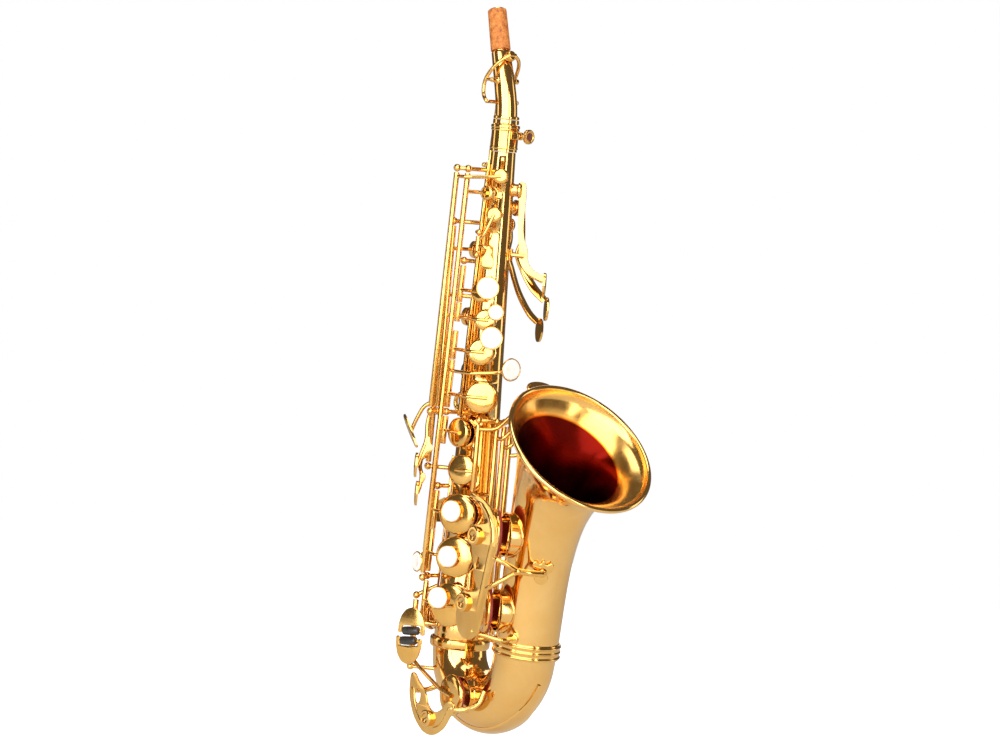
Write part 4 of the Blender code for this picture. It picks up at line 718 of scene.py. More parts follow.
def finish(name, pieces, slot="brass", pivot=None, parent=None, turn=None, angle=32.0):
    """The fine piece that stands for a CAD node, and the small pieces on it."""
    obj = show(name + "_shape", pieces, slot, BODY_OF[name], turn, name, angle)
    for look, parts in list(SMALL.items()):
        show(name + "_" + look, parts, look, BODY_OF[name], turn)
    SMALL.clear()
    return obj


# --------------------------------------------------------------- key helpers
def pad(centre, normal, radius):
    """The leather pad in a cup."""
    small("pad", lathe([(0, -0.22), (radius - 1.1, -0.22), (radius - 0.7, 0.1), (radius - 0.7, 1.0), (0, 1.0)],
                       centre, normal, 48, 0.3))


def cup(centre, normal, radius, height=CUP_HEIGHT, steps=12):
    """A pad cup: a flat crown with a turned step and a rolled edge, over its pad."""
    if radius > 12.0:
        r, h = radius, height
        small("pad", lathe([(0, -0.22), (r - 1.6, -0.22), (r - 0.7, 0.0), (r - 0.35, 0.5), (r - 0.35, 2.2), (0, 2.2)],
                           centre, normal, 72, 0.3))
        return lathe([(0, h), (r * 0.35, h - 0.03), (r * 0.66, h - 0.14), (r * 0.84, h - 0.4), (r * 0.93, h - 0.85),
                      (r - 0.25, h - 1.4), (r, 2.5), (r, 1.8), (r - 0.3, 1.65), (r - 0.9, 1.9), (0, 1.9)],
                     centre, normal, 72, 0.25)
    r = radius
    pad(centre, normal, r)
    profile = [(0, height), (r * 0.35, height - 0.03), (r * 0.62, height - 0.12), (r * 0.80, height - 0.34),
               (r * 0.90, height - 0.72), (r * 0.965, height - 1.35), (r - 0.05, 1.1), (r, 0.7), (r, 0.15),
               (r - 0.5, 0.05), (0, 0.3)]
    return lathe(profile, centre, normal, 64 if r > 6 else 48, 0.3)


def pearl_holder(centre, normal, radius):
    return lathe([(0, 1.6), (radius - 0.15, 1.6), (radius - 0.1, 2.25), (radius + 0.35, 2.3),
                  (radius + 0.7, 1.5), (radius * 0.86, 0.7), (radius * 0.45, 0.0), (0, 0)],
                 centre, normal, 56, 0.2)


def pearl(name, centre, normal, radius, turn, pivot):
    c = centre + normal * 1.9
    r = radius - 0.12
    profile = [(0, 0.75)]
    for k in range(1, 9):
        a = k / 8
        profile.append((r * a, 0.75 + 0.5 * a * a - (1.15 * max(0, a - 0.86) / 0.14 if a > 0.86 else 0)))
    profile += [(r, 0.0), (0, 0)]
    piece = lathe(profile, c, normal, 56, 0.5)
    return finish(name, [piece], "pearl", pivot=pivot, turn=turn)


def pivot_screw(point, direction, radius=1.25):
    """The slotted head of a hinge rod, in the outer side of its post."""
    d = direction.normalized()
    small("steel", lathe([(0, 0.55), (radius * 0.8, 0.45), (radius, 0.1), (radius, -0.5), (0, -0.5)],
                         point, d, 24, 0.15))
    across = d.orthogonal().normalized()
    # the slot is a dark bar: painted shadow
    small("dark", box(point + d * 0.47, across, d.cross(across), d, (radius * 1.7, 0.34, 0.22)))


class Hinge:
    """A hinge line, and how far a key on it turns to move its cup by a travel."""

    def __init__(self, low, high, cup_at, normal, travel, rests_open):
        self.low, self.high = low, high
        self.mid = (low + high) / 2
        line = (high - low).normalized()
        swing = line.cross(cup_at - low)
        reach = swing.length
        self.angle = travel / reach
        lifting = line if swing.dot(normal) > 0 else -line
        self.axis = -lifting if rests_open else lifting
        self.turn = None
        if rests_open:
            rotate = Matrix.Rotation(self.angle, 4, lifting)
            self.turn = Matrix.Translation(low) @ rotate @ Matrix.Translation(-low)

    def joint(self, name, press=1.0):
        JOINTS[name] = {
            "pos": [round(float(c), 6) for c in (self.mid - ORIGIN) * MM],
            "axis": [round(float(c), 6) for c in self.axis],
            "range": [0.0, round(math.degrees(self.angle) * press, 3)],
        }


def stack_point(z, angle=STACK_ANGLE, height=STACK_HEIGHT):
    return pol(angle, rb(z) + height, z)


def cup_frame(angle, z, rise=CHIMNEY_RISE):
    """Where a closed cup sits over a body tone hole: its point and its normal."""
    return pol(angle, rb(z) + rise + SEAT_GAP, z), out(angle)


def over_arm(hinge_point, cup_point, normal, radius, lift=0.5, reach=-0.35, height=CUP_HEIGHT):
    """An arm from the hinge up over the edge of a cup to beyond its middle."""
    top = cup_point + normal * (height + lift)
    away = hinge_point - cup_point
    away = (away - normal * away.dot(normal))
    away = Vector((away.x, away.y, 0.0)) if abs(away.z) < 3 else away
    away.normalize()
    base = hinge_point.copy()
    return [base, cup_point + away * (radius + 1.2) + normal * (height * 0.62),
            top + away * (radius * 0.62), top + away * radius * reach]


STRAP_EYE = pol(180, rb(150) + 9.0, 150)
ORIGIN = STRAP_EYE.copy()

# Tone holes on the body: name -> (angle, height, chimney radius, cup radius)
HOLES = {
    "side_e": (38, 294.0, 3.9, 4.9), "high_fs": (72, 283.0, 3.9, 4.9),
    "front_f": (46, 270.0, 4.0, 5.0), "b": (54, 222.0, 5.2, 6.6),
    "bis": (38, 205.0, 5.4, 6.8), "a": (41, 185.0, 7.2, 8.6),
    "g": (31, 157.0, 9.0, 10.4), "fs": (72, 134.0, 8.0, 9.4),
    "g_sharp": (63, 111.0, 8.4, 9.8), "f": (57, 83.8, 11.0, 12.6),
    "e": (54, 57.0, 11.3, 12.8), "d": (56, 27.0, 11.9, 13.6),
    "side_c": (154, 247.0, 4.6, 5.6), "side_bb": (154, 205.0, 4.9, 5.9),
    "palm_f": (-50, 286.0, 3.9, 4.9), "palm_eb": (-82, 275.0, 4.1, 5.1),
    "palm_d": (-114, 264.0, 4.3, 5.3), "eb": (150, 17.0, 9.0, 10.4),
    "low_cs": (-75, 20.0, 8.6, 10.0),
}
PIP = (210, 240.0)

# ------------------------------------------------------------------ the tube
def chimney(foot, n, radius, inner, height, start, sides=64):
    """A drawn tone hole: its pipe with an eased rim."""
    return lathe([(radius, start), (radius, height - 0.55), (radius + 0.18, height - 0.3),
                  (radius + 0.12, height), (inner - 0.05, height), (inner, height - 0.4),
                  (inner, start), (radius, start)], foot, n, sides, 0.12)


def solder_line(foot, n, up, radius, skin, bead=0.5):
    """The smooth bead where a pipe meets a round tube of a given radius."""
    t = n.cross(up)
    points = []
    for k in range(48):
        a = 2 * math.pi * k / 48
        x, y = radius * math.cos(a), radius * math.sin(a)
        points.append(foot + up * x + t * y + n * math.sqrt(max(0.0, (skin + 0.05) ** 2 - y * y)))
    curve = bpy.data.curves.new("bead", "CURVE")
    curve.dimensions = "3D"
    curve.bevel_depth = bead
    curve.bevel_resolution = 3
    spline = curve.splines.new("POLY")
    spline.points.add(len(points) - 1)
    for knot, p in zip(spline.points, points):
        knot.co = (*p, 1.0)
    spline.use_cyclic_u = True
    obj = bpy.data.objects.new("bead", curve)
    bpy.context.scene.collection.objects.link(obj)
    return evaluated(obj)


def loop_of(cx, cy, r, count=14):
    return [(cx + r * math.cos(2 * math.pi * i / count), cy + r * math.sin(2 * math.pi * i / count))
            for i in range(count)]


def pressed_rib(knots, face, width, height, steps=10):
    """A raised rib pressed in a flat guard, fading at both ends."""
    path = [eased([Vector((x, y, 0)) for x, y in knots], t / steps)
            for t in range(steps * (len(knots) - 1) + 1)]
    sections = []
    last = len(path) - 1
    for i, p in enumerate(path):
        d = (path[min(i + 1, last)] - path[max(i - 1, 0)]).normalized()
        s = Vector((d.y, -d.x, 0))
        fade = min(1.0, (i + 0.5) / (last * 0.10), (last - i + 0.5) / (last * 0.10)) ** 0.5
        row = []
        for k in range(13):
            a = math.pi * k / 12
            q = p + s * (width / 2 * fade * math.cos(a))
            row.append(at(q.x, face + height * fade * math.sin(a) ** 1.3, q.y))
        row.append(at(p.x - s.x * width * 0.3, face - 0.4, p.y - s.y * width * 0.3))
        row.append(at(p.x + s.x * width * 0.3, face - 0.4, p.y + s.y * width * 0.3))
        sections.append(row)
    return sweep(sections)


def bumper_cup(f, face, z, inner, outer):
    """The threaded cup of a guard that holds its adjustable felt."""
    return lathe([(outer - 0.75, 3.2), (outer, 2.6), (outer, -1.2), (inner, -1.2), (inner, 3.2),
                  (outer - 0.75, 3.2)], at(f, face, z), at(0, 1, 0), 48, 0.2)


def strap(points, widths, thick, thin):
    """A flat bar along points, on edge: thin across one direction, wide across the other."""
    knots = [Vector(p) for p in points]
    steps = 5
    path = [eased(knots, t / steps) for t in range(steps * (len(knots) - 1) + 1)]
    last = len(path) - 1
    sections = []
    for i, p in enumerate(path):
        d = (path[min(i + 1, last)] - path[max(i - 1, 0)]).normalized()
        n = (thin - d * thin.dot(d)).normalized()
        w = d.cross(n)
        t = i / last * (len(widths) - 1)
        half = eased([Vector((v, 0, 0)) for v in widths], t).x / 2
        row = []
        for k in range(16):
            a = 2 * math.pi * k / 16
            ca, sa = math.cos(a), math.sin(a)
            row.append(p + w * half * abs(ca) ** 0.45 * (1 if ca > 0 else -1)
                       + n * thick / 2 * abs(sa) ** 0.45 * (1 if sa > 0 else -1))
        sections.append(row)
    return sweep(sections)


def bow_guard():
    """The thin wavy plate that guards the underside of the bow."""
    path = finer(bow_path(), 64)
    side = at(0, 1, 0)
    reach = [Vector((v, 0, 0)) for v in (58, 56, 50, 40, 33, 28, 22, 13, 3.0)]
    low, high = 17, 57
    sections = []
    for i in range(low, high + 1):
        c, d, r = path[i]
        up = d.normalized().cross(side)
        t = (i - low) / (high - low) * (len(reach) - 1)
        half = math.radians(eased(reach, t).x)
        row = []
        for k in range(25):
            u = 2 * k / 24 - 1
            lift = 0.15 + 0.95 * max(0.0, 1 - abs(u) ** 10) ** 0.5
            a = half * u
            row.append(c + (side * math.sin(a) + up * math.cos(a)) * (r + lift))
        for k in range(25):
            a = half * (1 - 2 * k / 24)
            row.append(c + (side * math.sin(a) + up * math.cos(a)) * (r - 0.3))
        sections.append(row)
    return sweep(sections)


def bumper_screw(f, face, z, radius):
    """The slotted brass screw that sets a bumper felt."""
    small("brass", lathe([(0, 2.35), (radius * 0.55, 2.5), (radius * 0.9, 2.9), (radius, 2.5), (radius, 1.9), (0, 1.9)],
                         at(f, face, z), at(0, 1, 0), 40, 0.12))
    # the slot is a dark bar: painted shadow
    small("dark", box(at(f, face + 2.42, z), at(0.8, 0, 0.6), at(0.6, 0, -0.8), at(0, 1, 0),
                      (radius * 1.2, 0.55, 0.3)))


def body_tube():
    up = Vector((0, 0, 1))
    steps = 24
    loop = [(rb(z), z) for z in (0.15 + (BODY_LENGTH - 0.15) * k / steps for k in range(steps + 1))]
    loop += [(rb(z) - WALL, z) for z in (BODY_LENGTH - (BODY_LENGTH - 0.15) * k / steps
                                         for k in range(steps + 1))]
    shell = lathe(loop + [loop[0]], at(0, 0, 0), up, 128, 0.25)
    pieces, bores = [], []
    for angle, z, radius, _ in HOLES.values():
        n = out(angle)
        foot = at(0, 0, z)
        skin = rb(z)
        start = math.sqrt(max(1.0, (skin - 0.6) ** 2 - radius ** 2)) if radius < skin - 1 else skin * 0.4
        pieces.append(chimney(foot, n, radius, radius - 0.8, skin + CHIMNEY_RISE, start))
        pieces.append(solder_line(foot, n, up, radius, skin))
        bores.append(lathe([(0, 2), (radius - 0.75, 2), (radius - 0.75, skin + 4), (0, skin + 4)],
                           foot, n, 48, 0.0))
    angle, z = PIP
    foot = at(0, 0, z)
    pieces.append(chimney(foot, out(angle), 1.9, 0.9, rb(z) + 3.0, rb(z) - 0.9, 24))
    p = stack_point(12.5)
    pieces += [rod(pol(103, rb(12) - 0.5, 12.5), p, POST_R, 6), ball(p, BALL_R),
               lathe([(2.6, -0.2), (2.6, 0.5), (1.6, 1.0), (1.2, 1.6), (0, 1.6)],
                     pol(103, rb(12.5) - 0.1, 12.5), out(104), 32)]
    n, t = out(angle), out(angle + 90)
    for s in (-1, 1):
        cheek = pol(angle, rb(227), 227.0) + t * s * 3.5
        pieces.append(rod(cheek - n * 1.4, cheek + n * 6.8, 1.1, 6))
    skin = bore_out(shell, bores)
    show("body_tube_skin", [skin], "body_brass", BODY_OF["body_tube"])
    finish("body_tube", pieces, "body_brass")


def bow_path():
    reach = BOW_END[0] / 2
    path = []
    for i in range(9):
        t = math.pi * i / 8
        f = reach - reach * math.cos(t)
        z = -BOW_DEPTH * math.sin(t) + BOW_END[1] * (i / 8) ** 2
        df, dz = reach * math.sin(t), -BOW_DEPTH * math.cos(t)
        path.append((at(f, 0, z - 0.15 if i == 0 else z), at(df, 0, dz).normalized(),
                     BODY_BOTTOM_RADIUS + (19.2 - BODY_BOTTOM_RADIUS) * i / 8))
    path[0] = (path[0][0], at(0, 0, -1), path[0][2])
    path[-1] = (path[-1][0], at(0.08, 0, 1), path[-1][2])
    return path


LOW_C = (33.0, -25.5, 11.2, 12.8)     # F, z, chimney radius, cup radius


def bow():
    path = finer(bow_path(), 64)
    skin = rings(path, 96)
    ends = [(c, d, r - WALL) for c, d, r in path]
    core = rings(ends, 96)
    loop = skin + core[::-1]
    shell = sweep(loop + [loop[0]], closed=True)
    side = at(0, 1, 0)
    foot = at(LOW_C[0], 0, LOW_C[1])
    hole = lathe([(0, 4), (LOW_C[2] - 0.85, 4), (LOW_C[2] - 0.85, 26), (0, 26)], foot, side, 64, 0.0)
    skin = bore_out(shell, [hole])
    show("bow_skin", [skin], "body_brass", BODY_OF["bow"])
    show("bow_guard_plate", [bow_guard()], "body_brass", BODY_OF["bow"])
    low = SIDE_RODS["pinky"][0]
    start = math.sqrt(17.6 ** 2 - LOW_C[2] ** 2)
    pieces = [chimney(foot, side, LOW_C[2], LOW_C[2] - 0.9, 21.2, start),
              solder_line(foot, side, at(1, 0, 0.02).normalized(), LOW_C[2], 18.1, 0.6),
              rod(at(-4.5, 13.6, -16.0), low, POST_R, 6), ball(low, BALL_R)]
    finish("bow", pieces, "body_brass")


def bell_point(t):
    p0 = Vector(BELL_START)
    p3 = Vector(RIM_CENTRE)
    p1 = p0 + 40 * Vector((0.08, 1.0))
    p2 = p3 - 48 * Vector(RIM_NORMAL)
    s = 1 - t
    p = s ** 3 * p0 + 3 * s * s * t * p1 + 3 * s * t * t * p2 + t ** 3 * p3
    d = 3 * s * s * (p1 - p0) + 6 * s * t * (p2 - p1) + 3 * t * t * (p3 - p2)
    return at(p.x, 0, p.y), at(d.x, 0, d.y).normalized()


BELL_RADII = [(0, 19.2), (0.4, 20.5), (0.6, 22.4), (0.76, 26.4), (0.87, 31.8),
              (0.95, 39.2), (1.0, RIM_RADIUS)]
BELL_HOLES = {"low_b": (32.0, 13.2, 15.2), "low_bb": (79.0, 13.6, 15.6)}


def bell_at(z):
    """The bell's centre line and radius at a height."""
    low, high = 0.0, 1.0
    for _ in range(40):
        t = (low + high) / 2
        if bell_point(t)[0].z < z:
            low = t
        else:
            high = t
    radius = BELL_RADII[-1][1]
    for (a, ra), (b, rb_) in zip(BELL_RADII, BELL_RADII[1:]):
        if a <= t <= b:
            radius = ra + (rb_ - ra) * (t - a) / (b - a)
    return bell_point(t)[0], radius


def bell():
    stations = [t for t, _ in BELL_RADII]
    radii = [r for _, r in BELL_RADII]

    def radius_at(t):
        # monotone smooth growth through the measured stations
        n = len(stations)
        slope = [(radii[i + 1] - radii[i]) / (stations[i + 1] - stations[i]) for i in range(n - 1)]
        grade = [slope[0]] + [2 * a * b / (a + b) for a, b in zip(slope, slope[1:])] + [slope[-1] * 1.12]
        i = max(k for k in range(n - 1) if stations[k] <= t + 1e-9)
        h = stations[i + 1] - stations[i]
        u = (t - stations[i]) / h
        return (radii[i] * (2 * u ** 3 - 3 * u * u + 1) + radii[i + 1] * (3 * u * u - 2 * u ** 3)
                + grade[i] * h * (u ** 3 - 2 * u * u + u) + grade[i + 1] * h * (u ** 3 - u * u))

    wall = []
    count = 110
    for k in range(count + 1):
        t = (k / count) ** 0.8
        centre, direction = bell_point(t)
        wall.append((centre, direction, radius_at(t)))
    centre, n = wall[-1][0], wall[-1][1]
    roll = []
    for k in range(15):
        a = math.radians(-75 + 255 * k / 14)
        roll.append((centre + n * (RIM_ROLL * math.sin(a) + 1.2), n,
                     RIM_RADIUS - 0.6 + RIM_ROLL * math.cos(a)))
    inner = [(c, d, r - WALL) for c, d, r in wall]
    skin = wall[:-2] + roll + inner[:-2][::-1]
    around = 144
    sections = rings(skin, around)
    shell = sweep(sections + [sections[0]], closed=True)
    mesh = shell.data
    # where each point is: how deep inside, which sets the throat's painted shade, and how far into the engraved field
    inside_from = len(wall) - 2 + 11
    rows = len(sections)
    depth = mesh.attributes.new("depth", "FLOAT", "POINT")
    field = mesh.attributes.new("field", "FLOAT", "POINT")
    rim = centre.copy()
    for i, v in enumerate(mesh.vertices):
        row = min(i // around, rows - 1)
        far = max(0.0, -(v.co - rim).dot(n))
        depth.data[i].value = min(1.0, far / 110.0)
        turn_ = 2 * math.pi * (i % around) / around
        u = 0.80 * math.cos(turn_) - 0.60 * math.sin(turn_)
        edge = max(0.0, min(1.0, (u - 0.30) / 0.35))
        field.data[i].value = 0.7 * edge * max(0.0, min(1.0, 1.6 * math.exp(-((far - 19.0) / 11.0) ** 2) - 0.4))
    mesh.materials.append(LOOKS["bell_brass"])
    mesh.materials.append(LOOKS["bell_inside_painted_shade"])
    inner_rows = set(range(inside_from, rows))
    for poly in mesh.polygons:
        r = min(min(vi // around, rows - 1) for vi in poly.vertices)
        high = max(min(vi // around, rows - 1) for vi in poly.vertices)
        if r >= inside_from and not (r == 0):
            poly.material_index = 1
    n_side = out(BELL_SIDE_ANGLE)
    pipes, bores = [], []
    for z, radius, _ in BELL_HOLES.values():
        c, r = bell_at(z)
        start = math.sqrt(max(4.0, (r - 0.8) ** 2 - radius ** 2))
        pipes.append(chimney(c, n_side, radius, radius - 0.9, r + CHIMNEY_RISE + 0.3, start))
        lean = bell_at(z + 4)[0] - bell_at(z - 4)[0]
        pipes.append(solder_line(c, n_side, lean.normalized(), radius, r, 0.6))
        bores.append(lathe([(0, r - 14), (radius - 0.85, r - 14), (radius - 0.85, r + 6), (0, r + 6)],
                           c, n_side, 56, 0.0))
    skin_obj = bore_out(shell, bores)
    while len(skin_obj.data.materials) < 2:
        skin_obj.data.materials.append(LOOKS[("bell_brass", "bell_inside_painted_shade")[len(skin_obj.data.materials)]])
    show("bell_skin", [skin_obj], "bell_brass", BODY_OF["bell"])
    finish("bell", pipes, "body_brass")


def band(name, centre, direction, inner, outer, half, beads=False):
    profile = [(outer - 0.5, half), (outer, half - 0.7), (outer, -half + 0.7), (outer - 0.5, -half),
               (inner, -half), (inner, half), (outer - 0.5, half)]
    if beads:
        profile = [(inner, half), (outer - 0.9, half), (outer - 0.85, half * 0.82), (outer - 0.1, half * 0.76),
                   (outer - 0.1, half * 0.60), (outer - 0.75, half * 0.52), (outer - 0.7, half * 0.14),
                   (outer - 0.2, half * 0.08), (outer - 0.2, -half * 0.08), (outer - 0.7, -half * 0.14),
                   (outer - 0.75, -half * 0.52), (outer - 0.1, -half * 0.60), (outer - 0.1, -half * 0.76),
                   (outer - 0.85, -half * 0.82), (outer - 0.9, -half), (inner, -half), (inner, half)]
    else:
        profile = [(inner, half), (outer - 0.6, half), (outer - 0.05, half * 0.6), (outer, 0.0),
                   (outer - 0.05, -half * 0.6), (outer - 0.6, -half), (inner, -half), (inner, half)]
    finish(name, [lathe(profile, centre, direction, 128, 0.35)], "brass")


def neck_point(t):
    knots = [Vector((0, 329.2)), Vector((-1.2, 338.0)), Vector((-4.0, 348.5)),
             Vector((-7.8, 359.5)), Vector((-11.6, 370.0)), Vector((-19.9, 397.2))]
    i = min(int(t), len(knots) - 2)
    p = knots[i].lerp(knots[i + 1], t - i)
    d = (knots[min(i + 1, 5)] - knots[max(i - (1 if t == i else 0), 0)]).normalized()
    return at(p.x, 0, p.y), at(d.x, 0, d.y)


PIVOT_OCTAVE = at(-5.2, 0, 353.0)


def neck():
    radii = [6.8, 6.75, 6.6, 6.3, 5.9, 4.6]
    knots = []
    for i in range(5):
        point, direction = neck_point(i)
        knots.append((point, Vector((0, 0, 1)) if i == 0 else direction, radii[i]))
    path = finer(knots, 40)
    step, stepd = neck_point(4)
    tip, tipd = neck_point(5)
    for u, r in ((0.3, 5.86), (0.7, 5.3), (1.0, 4.8)):
        path.append((step + tipd * u, tipd, r))
    path.append((tip - tipd * 0.3, tipd, 4.6))
    path.append((tip - tipd * 0.05, tipd, 4.45))
    path.append((tip, tipd, 4.2))
    inner = [(tip, tipd, 3.6), (tip - tipd * 0.4, tipd, 3.5)]
    inner += [(c, d, max(3.5, r - 1.0)) for c, d, r in path[:-4][::-1]]
    loop = rings(path + inner, 72)
    shell = sweep(loop + [loop[0]], closed=True)
    collar = lathe([(7.0, 329.3), (7.8, 329.3), (8.0, 329.7), (8.0, 330.9), (7.7, 331.35), (7.0, 331.4),
                    (7.0, 329.3)], at(0, 0, 0), Vector((0, 0, 1)), 72, 0.15)
    side = at(0, 1, 0)
    posts = [rod(PIVOT_OCTAVE + side * s * 4.0, PIVOT_OCTAVE + side * s * 7.6, 1.5, 8)
             for s in (-1, 1)]
    for s in (-1, 1):
        posts.append(lathe([(0, 5.6), (2.6, 5.6), (2.3, 6.4), (1.5, 6.9), (0, 6.9)], PIVOT_OCTAVE, side * s, 40))
    c, d = neck_point(3.55)
    front = d.cross(side).normalized()
    front = front if front.y < 0 else -front
    pip = lathe([(0.8, 4.5), (2.6, 5.6), (2.0, 6.2), (1.8, 6.7), (1.8, 7.6), (0.8, 7.6), (0.8, 4.5)],
                c, front, 40, 0.2)
    base = at(0, 0, 329.2)
    show("neck_tube_skin", [shell], "body_brass", BODY_OF["neck_tube"])
    finish("neck_tube", [collar] + posts + [pip], "body_brass", pivot=base)
    # cork sleeve
    tipp = tip
    low = step + tipd * 1.6
    high = tipp - tipd * 0.6
    length = (high - low).length
    sleeve = [(5.08, 0), (6.05, 0.0), (6.2, 0.35), (6.17, 2.0), (6.10, length * 0.3), (6.0, length * 0.6), (5.84, length - 0.9), (5.55, length - 0.1),
              (4.85, length), (4.85, length - 1.0), (5.08, 0)]
    finish("neck_cork", [lathe(sleeve, low, high - low, 72, 0.3)], "cork", pivot=base)
    # tenon with its collar
    shape = [(8.1, 329.0), (8.1, 326.4), (TENON_OUT, 326.4), (TENON_OUT, 311.0),
             (TENON_IN, 311.0), (TENON_IN, 329.0), (8.1, 329.0)]
    finish("neck_tenon", [lathe(shape, at(0, 0, 0), Vector((0, 0, 1)), 72, 0.35)], "body_brass",
           pivot=at(0, 0, 326.4))
    # octave key on the neck: a loop round the tube, with a cup on the pip
    hinge_r = [PIVOT_OCTAVE + side * s * 9.2 for s in (1, -1)]
    seat_ = c + front * (7.6 + SEAT_GAP)
    top = seat_ + front * 3.2
    legs = []
    for s in (1, -1):
        legs.append([top + at(0, s * 2.0, -0.3), at(-1.4, s * 6.6, 365.6), at(-5.2, s * 9.6, 360.6),
                     at(-9.6, s * 10.9, 354.4), at(-11.6, s * 11.0, 348.6), at(-10.2, s * 11.4, 343.0)])
    knots = legs[0] + [pol(180 + deg, 13.4, 339.5) for deg in (-62, -31, 0, 31, 62)] + legs[1][::-1]
    path = [eased(knots, t / 4) for t in range(4 * (len(knots) - 1) + 1)]
    bosses = [rod(hinge_r[i] + side * s * 0.8, legs[i][3] + (legs[i][4] - legs[i][3]) * 0.2, 1.15, 10)
              for i, s in ((0, 1), (1, -1))]
    key = [wire(path, 1.15, 8), *bosses, cup(seat_, front, 3.4, 3.4, 12),
           rod(hinge_r[0] - side * 1.2, hinge_r[0] + side * 1.0, 1.6, 8),
           rod(hinge_r[1] + side * 1.2, hinge_r[1] - side * 1.0, 1.6, 8),
           rod(top + at(0, 2.6, 0), top + at(0, -2.6, 0), 1.15, 8)]
    for s, p in ((1, hinge_r[0]), (-1, hinge_r[1])):
        pivot_screw(p + side * s * 1.0, side * s, 1.1)
    finish("neck_octave_key", key, "brass", pivot=PIVOT_OCTAVE)


def vec(point):
    return [round(float(c), 6) for c in (point - ORIGIN) * MM]


SCREW_ANGLE = -10.0


def receiver():
    r = RECEIVER_OUT
    shape = [(RECEIVER_IN, 325.9), (r + 0.35, 325.9), (r + 0.6, 325.5), (r + 0.6, 324.2), (r + 0.25, 323.8),
             (r + 0.25, 323.3), (r + 0.5, 323.0), (r + 0.5, 322.6), (r, 322.2), (r, 312.4),
             (r + 0.3, 312.0), (r + 0.3, 311.2), (r - 0.2, 310.8), (rb(309) + 0.6, 309.3),
             (RECEIVER_IN, 309.3), (RECEIVER_IN, 325.9)]
    sleeve = lathe(shape, at(0, 0, 0), Vector((0, 0, 1)), 96, 0.15)
    line = out(SCREW_ANGLE - 90)
    n = out(SCREW_ANGLE)
    slit = box(n * 9.5 + at(0, 0, 321.0), line, n, Vector((0, 0, 1)), (1.4, 8.5, 14.0))
    sleeve = bore_out(sleeve, [slit])
    show("neck_receiver_sleeve", [sleeve], "brass", BODY_OF["neck_receiver"])
    lugs = []
    for s in (-1, 1):
        lugs.append(rod(n * 11.2 + line * s * 0.85 + at(0, 0, 319.6), n * 11.2 + line * s * 2.95 + at(0, 0, 319.6), 2.5))
        lugs.append(box(n * 9.4 + line * s * 1.9 + at(0, 0, 319.6), line, n, Vector((0, 0, 1)), (2.1, 3.6, 4.9)))
    finish("neck_receiver", lugs, "brass")
    a = n * 11.2 + at(0, 0, 319.6)
    shank = rod(a - line * 2.9, a + line * 6.0, 1.0, 10)
    disc = lathe([(0, 0.75), (2.9, 0.75), (3.2, 1.25), (3.9, 1.3), (4.6, 0.75), (4.6, -0.75), (3.9, -1.3),
                  (3.2, -1.25), (2.9, -0.75), (0, -0.75)], a + line * 9.6, n, 56, 0.25)
    for s in (-1, 1):
        small("dark_red", lathe([(0, 1.0), (1.8, 0.98), (2.75, 0.72), (2.75, 0.3), (0, 0.3)],
                                a + line * 9.6, n * s, 48, 0.2))
    collar = lathe([(0, 0), (1.9, 0), (1.9, 1.4), (1.3, 1.8), (1.3, 2.4), (0, 2.4)], a + line * 4.2, line, 32)
    finish("neck_screw", [shank, collar, disc], "brass", pivot=a)


# ------------------------------------------------------------ ribs and posts
def post(points, end):
    """A stem along points with a ball at its end, where a hinge tube turns."""
    return [wire(points, POST_R, 6), ball(end, BALL_R)]


def rib(angle, low, high, width=4.0, thick=1.4):
    a = pol(angle, rb(low) + 0.35 + thick / 2, low)
    b = pol(angle, rb(high) + 0.35 + thick / 2, high)
    z = (b - a).normalized()
    n = out(angle)
    x = z.cross(n).normalized()
    return box((a + b) / 2, x, z.cross(x), z, (width, thick, (b - a).length))


def radial_post(angle, end, foot=None, start=None):
    z = end.z
    base = pol(angle if start is None else start, rb(z) + 0.9, z)
    return [rod(base, end, POST_R, 6), ball(end, BALL_R)]


SIDE_RODS = {   # low and high ends of the long rods on the right side
    "side_e": (at(-6.5, 33.6, 145.5), at(-4.5, 30.9, 297.0)),
    "side_c": (at(-9.0, 26.5, 145.5), at(-9.0, 26.5, 264.0)),
    "side_bb": (at(-18.0, 23.5, 110.0), at(-16.2, 23.8, 218.0)),
    "high_fs": (at(-4.0, 30.5, 42.0), at(-1.0, 25.0, 297.0)),
    "pinky": (at(-16.0, 25.0, -16.0), at(-16.0, 25.0, 29.0)),
}
FRONT_RODS = {
    "g_sharp": (at(17.5, 13.5, 96.5), at(17.5, 13.5, 143.0)),
    "low_bb": (at(22.5, 3.0, 58.0), at(22.5, 3.0, 143.0)),
    "low_b": (at(23.0, -2.3, 12.0), at(23.0, -2.3, 143.0)),
    "low_cs": (at(22.5, -7.5, 7.0), at(22.5, -7.5, 143.0)),
}
STACK_POSTS = {"top": 240.0, "mid": 199.0, "join": 145.5, "low1": 99.0, "low2": 42.3, "low3": 12.5}


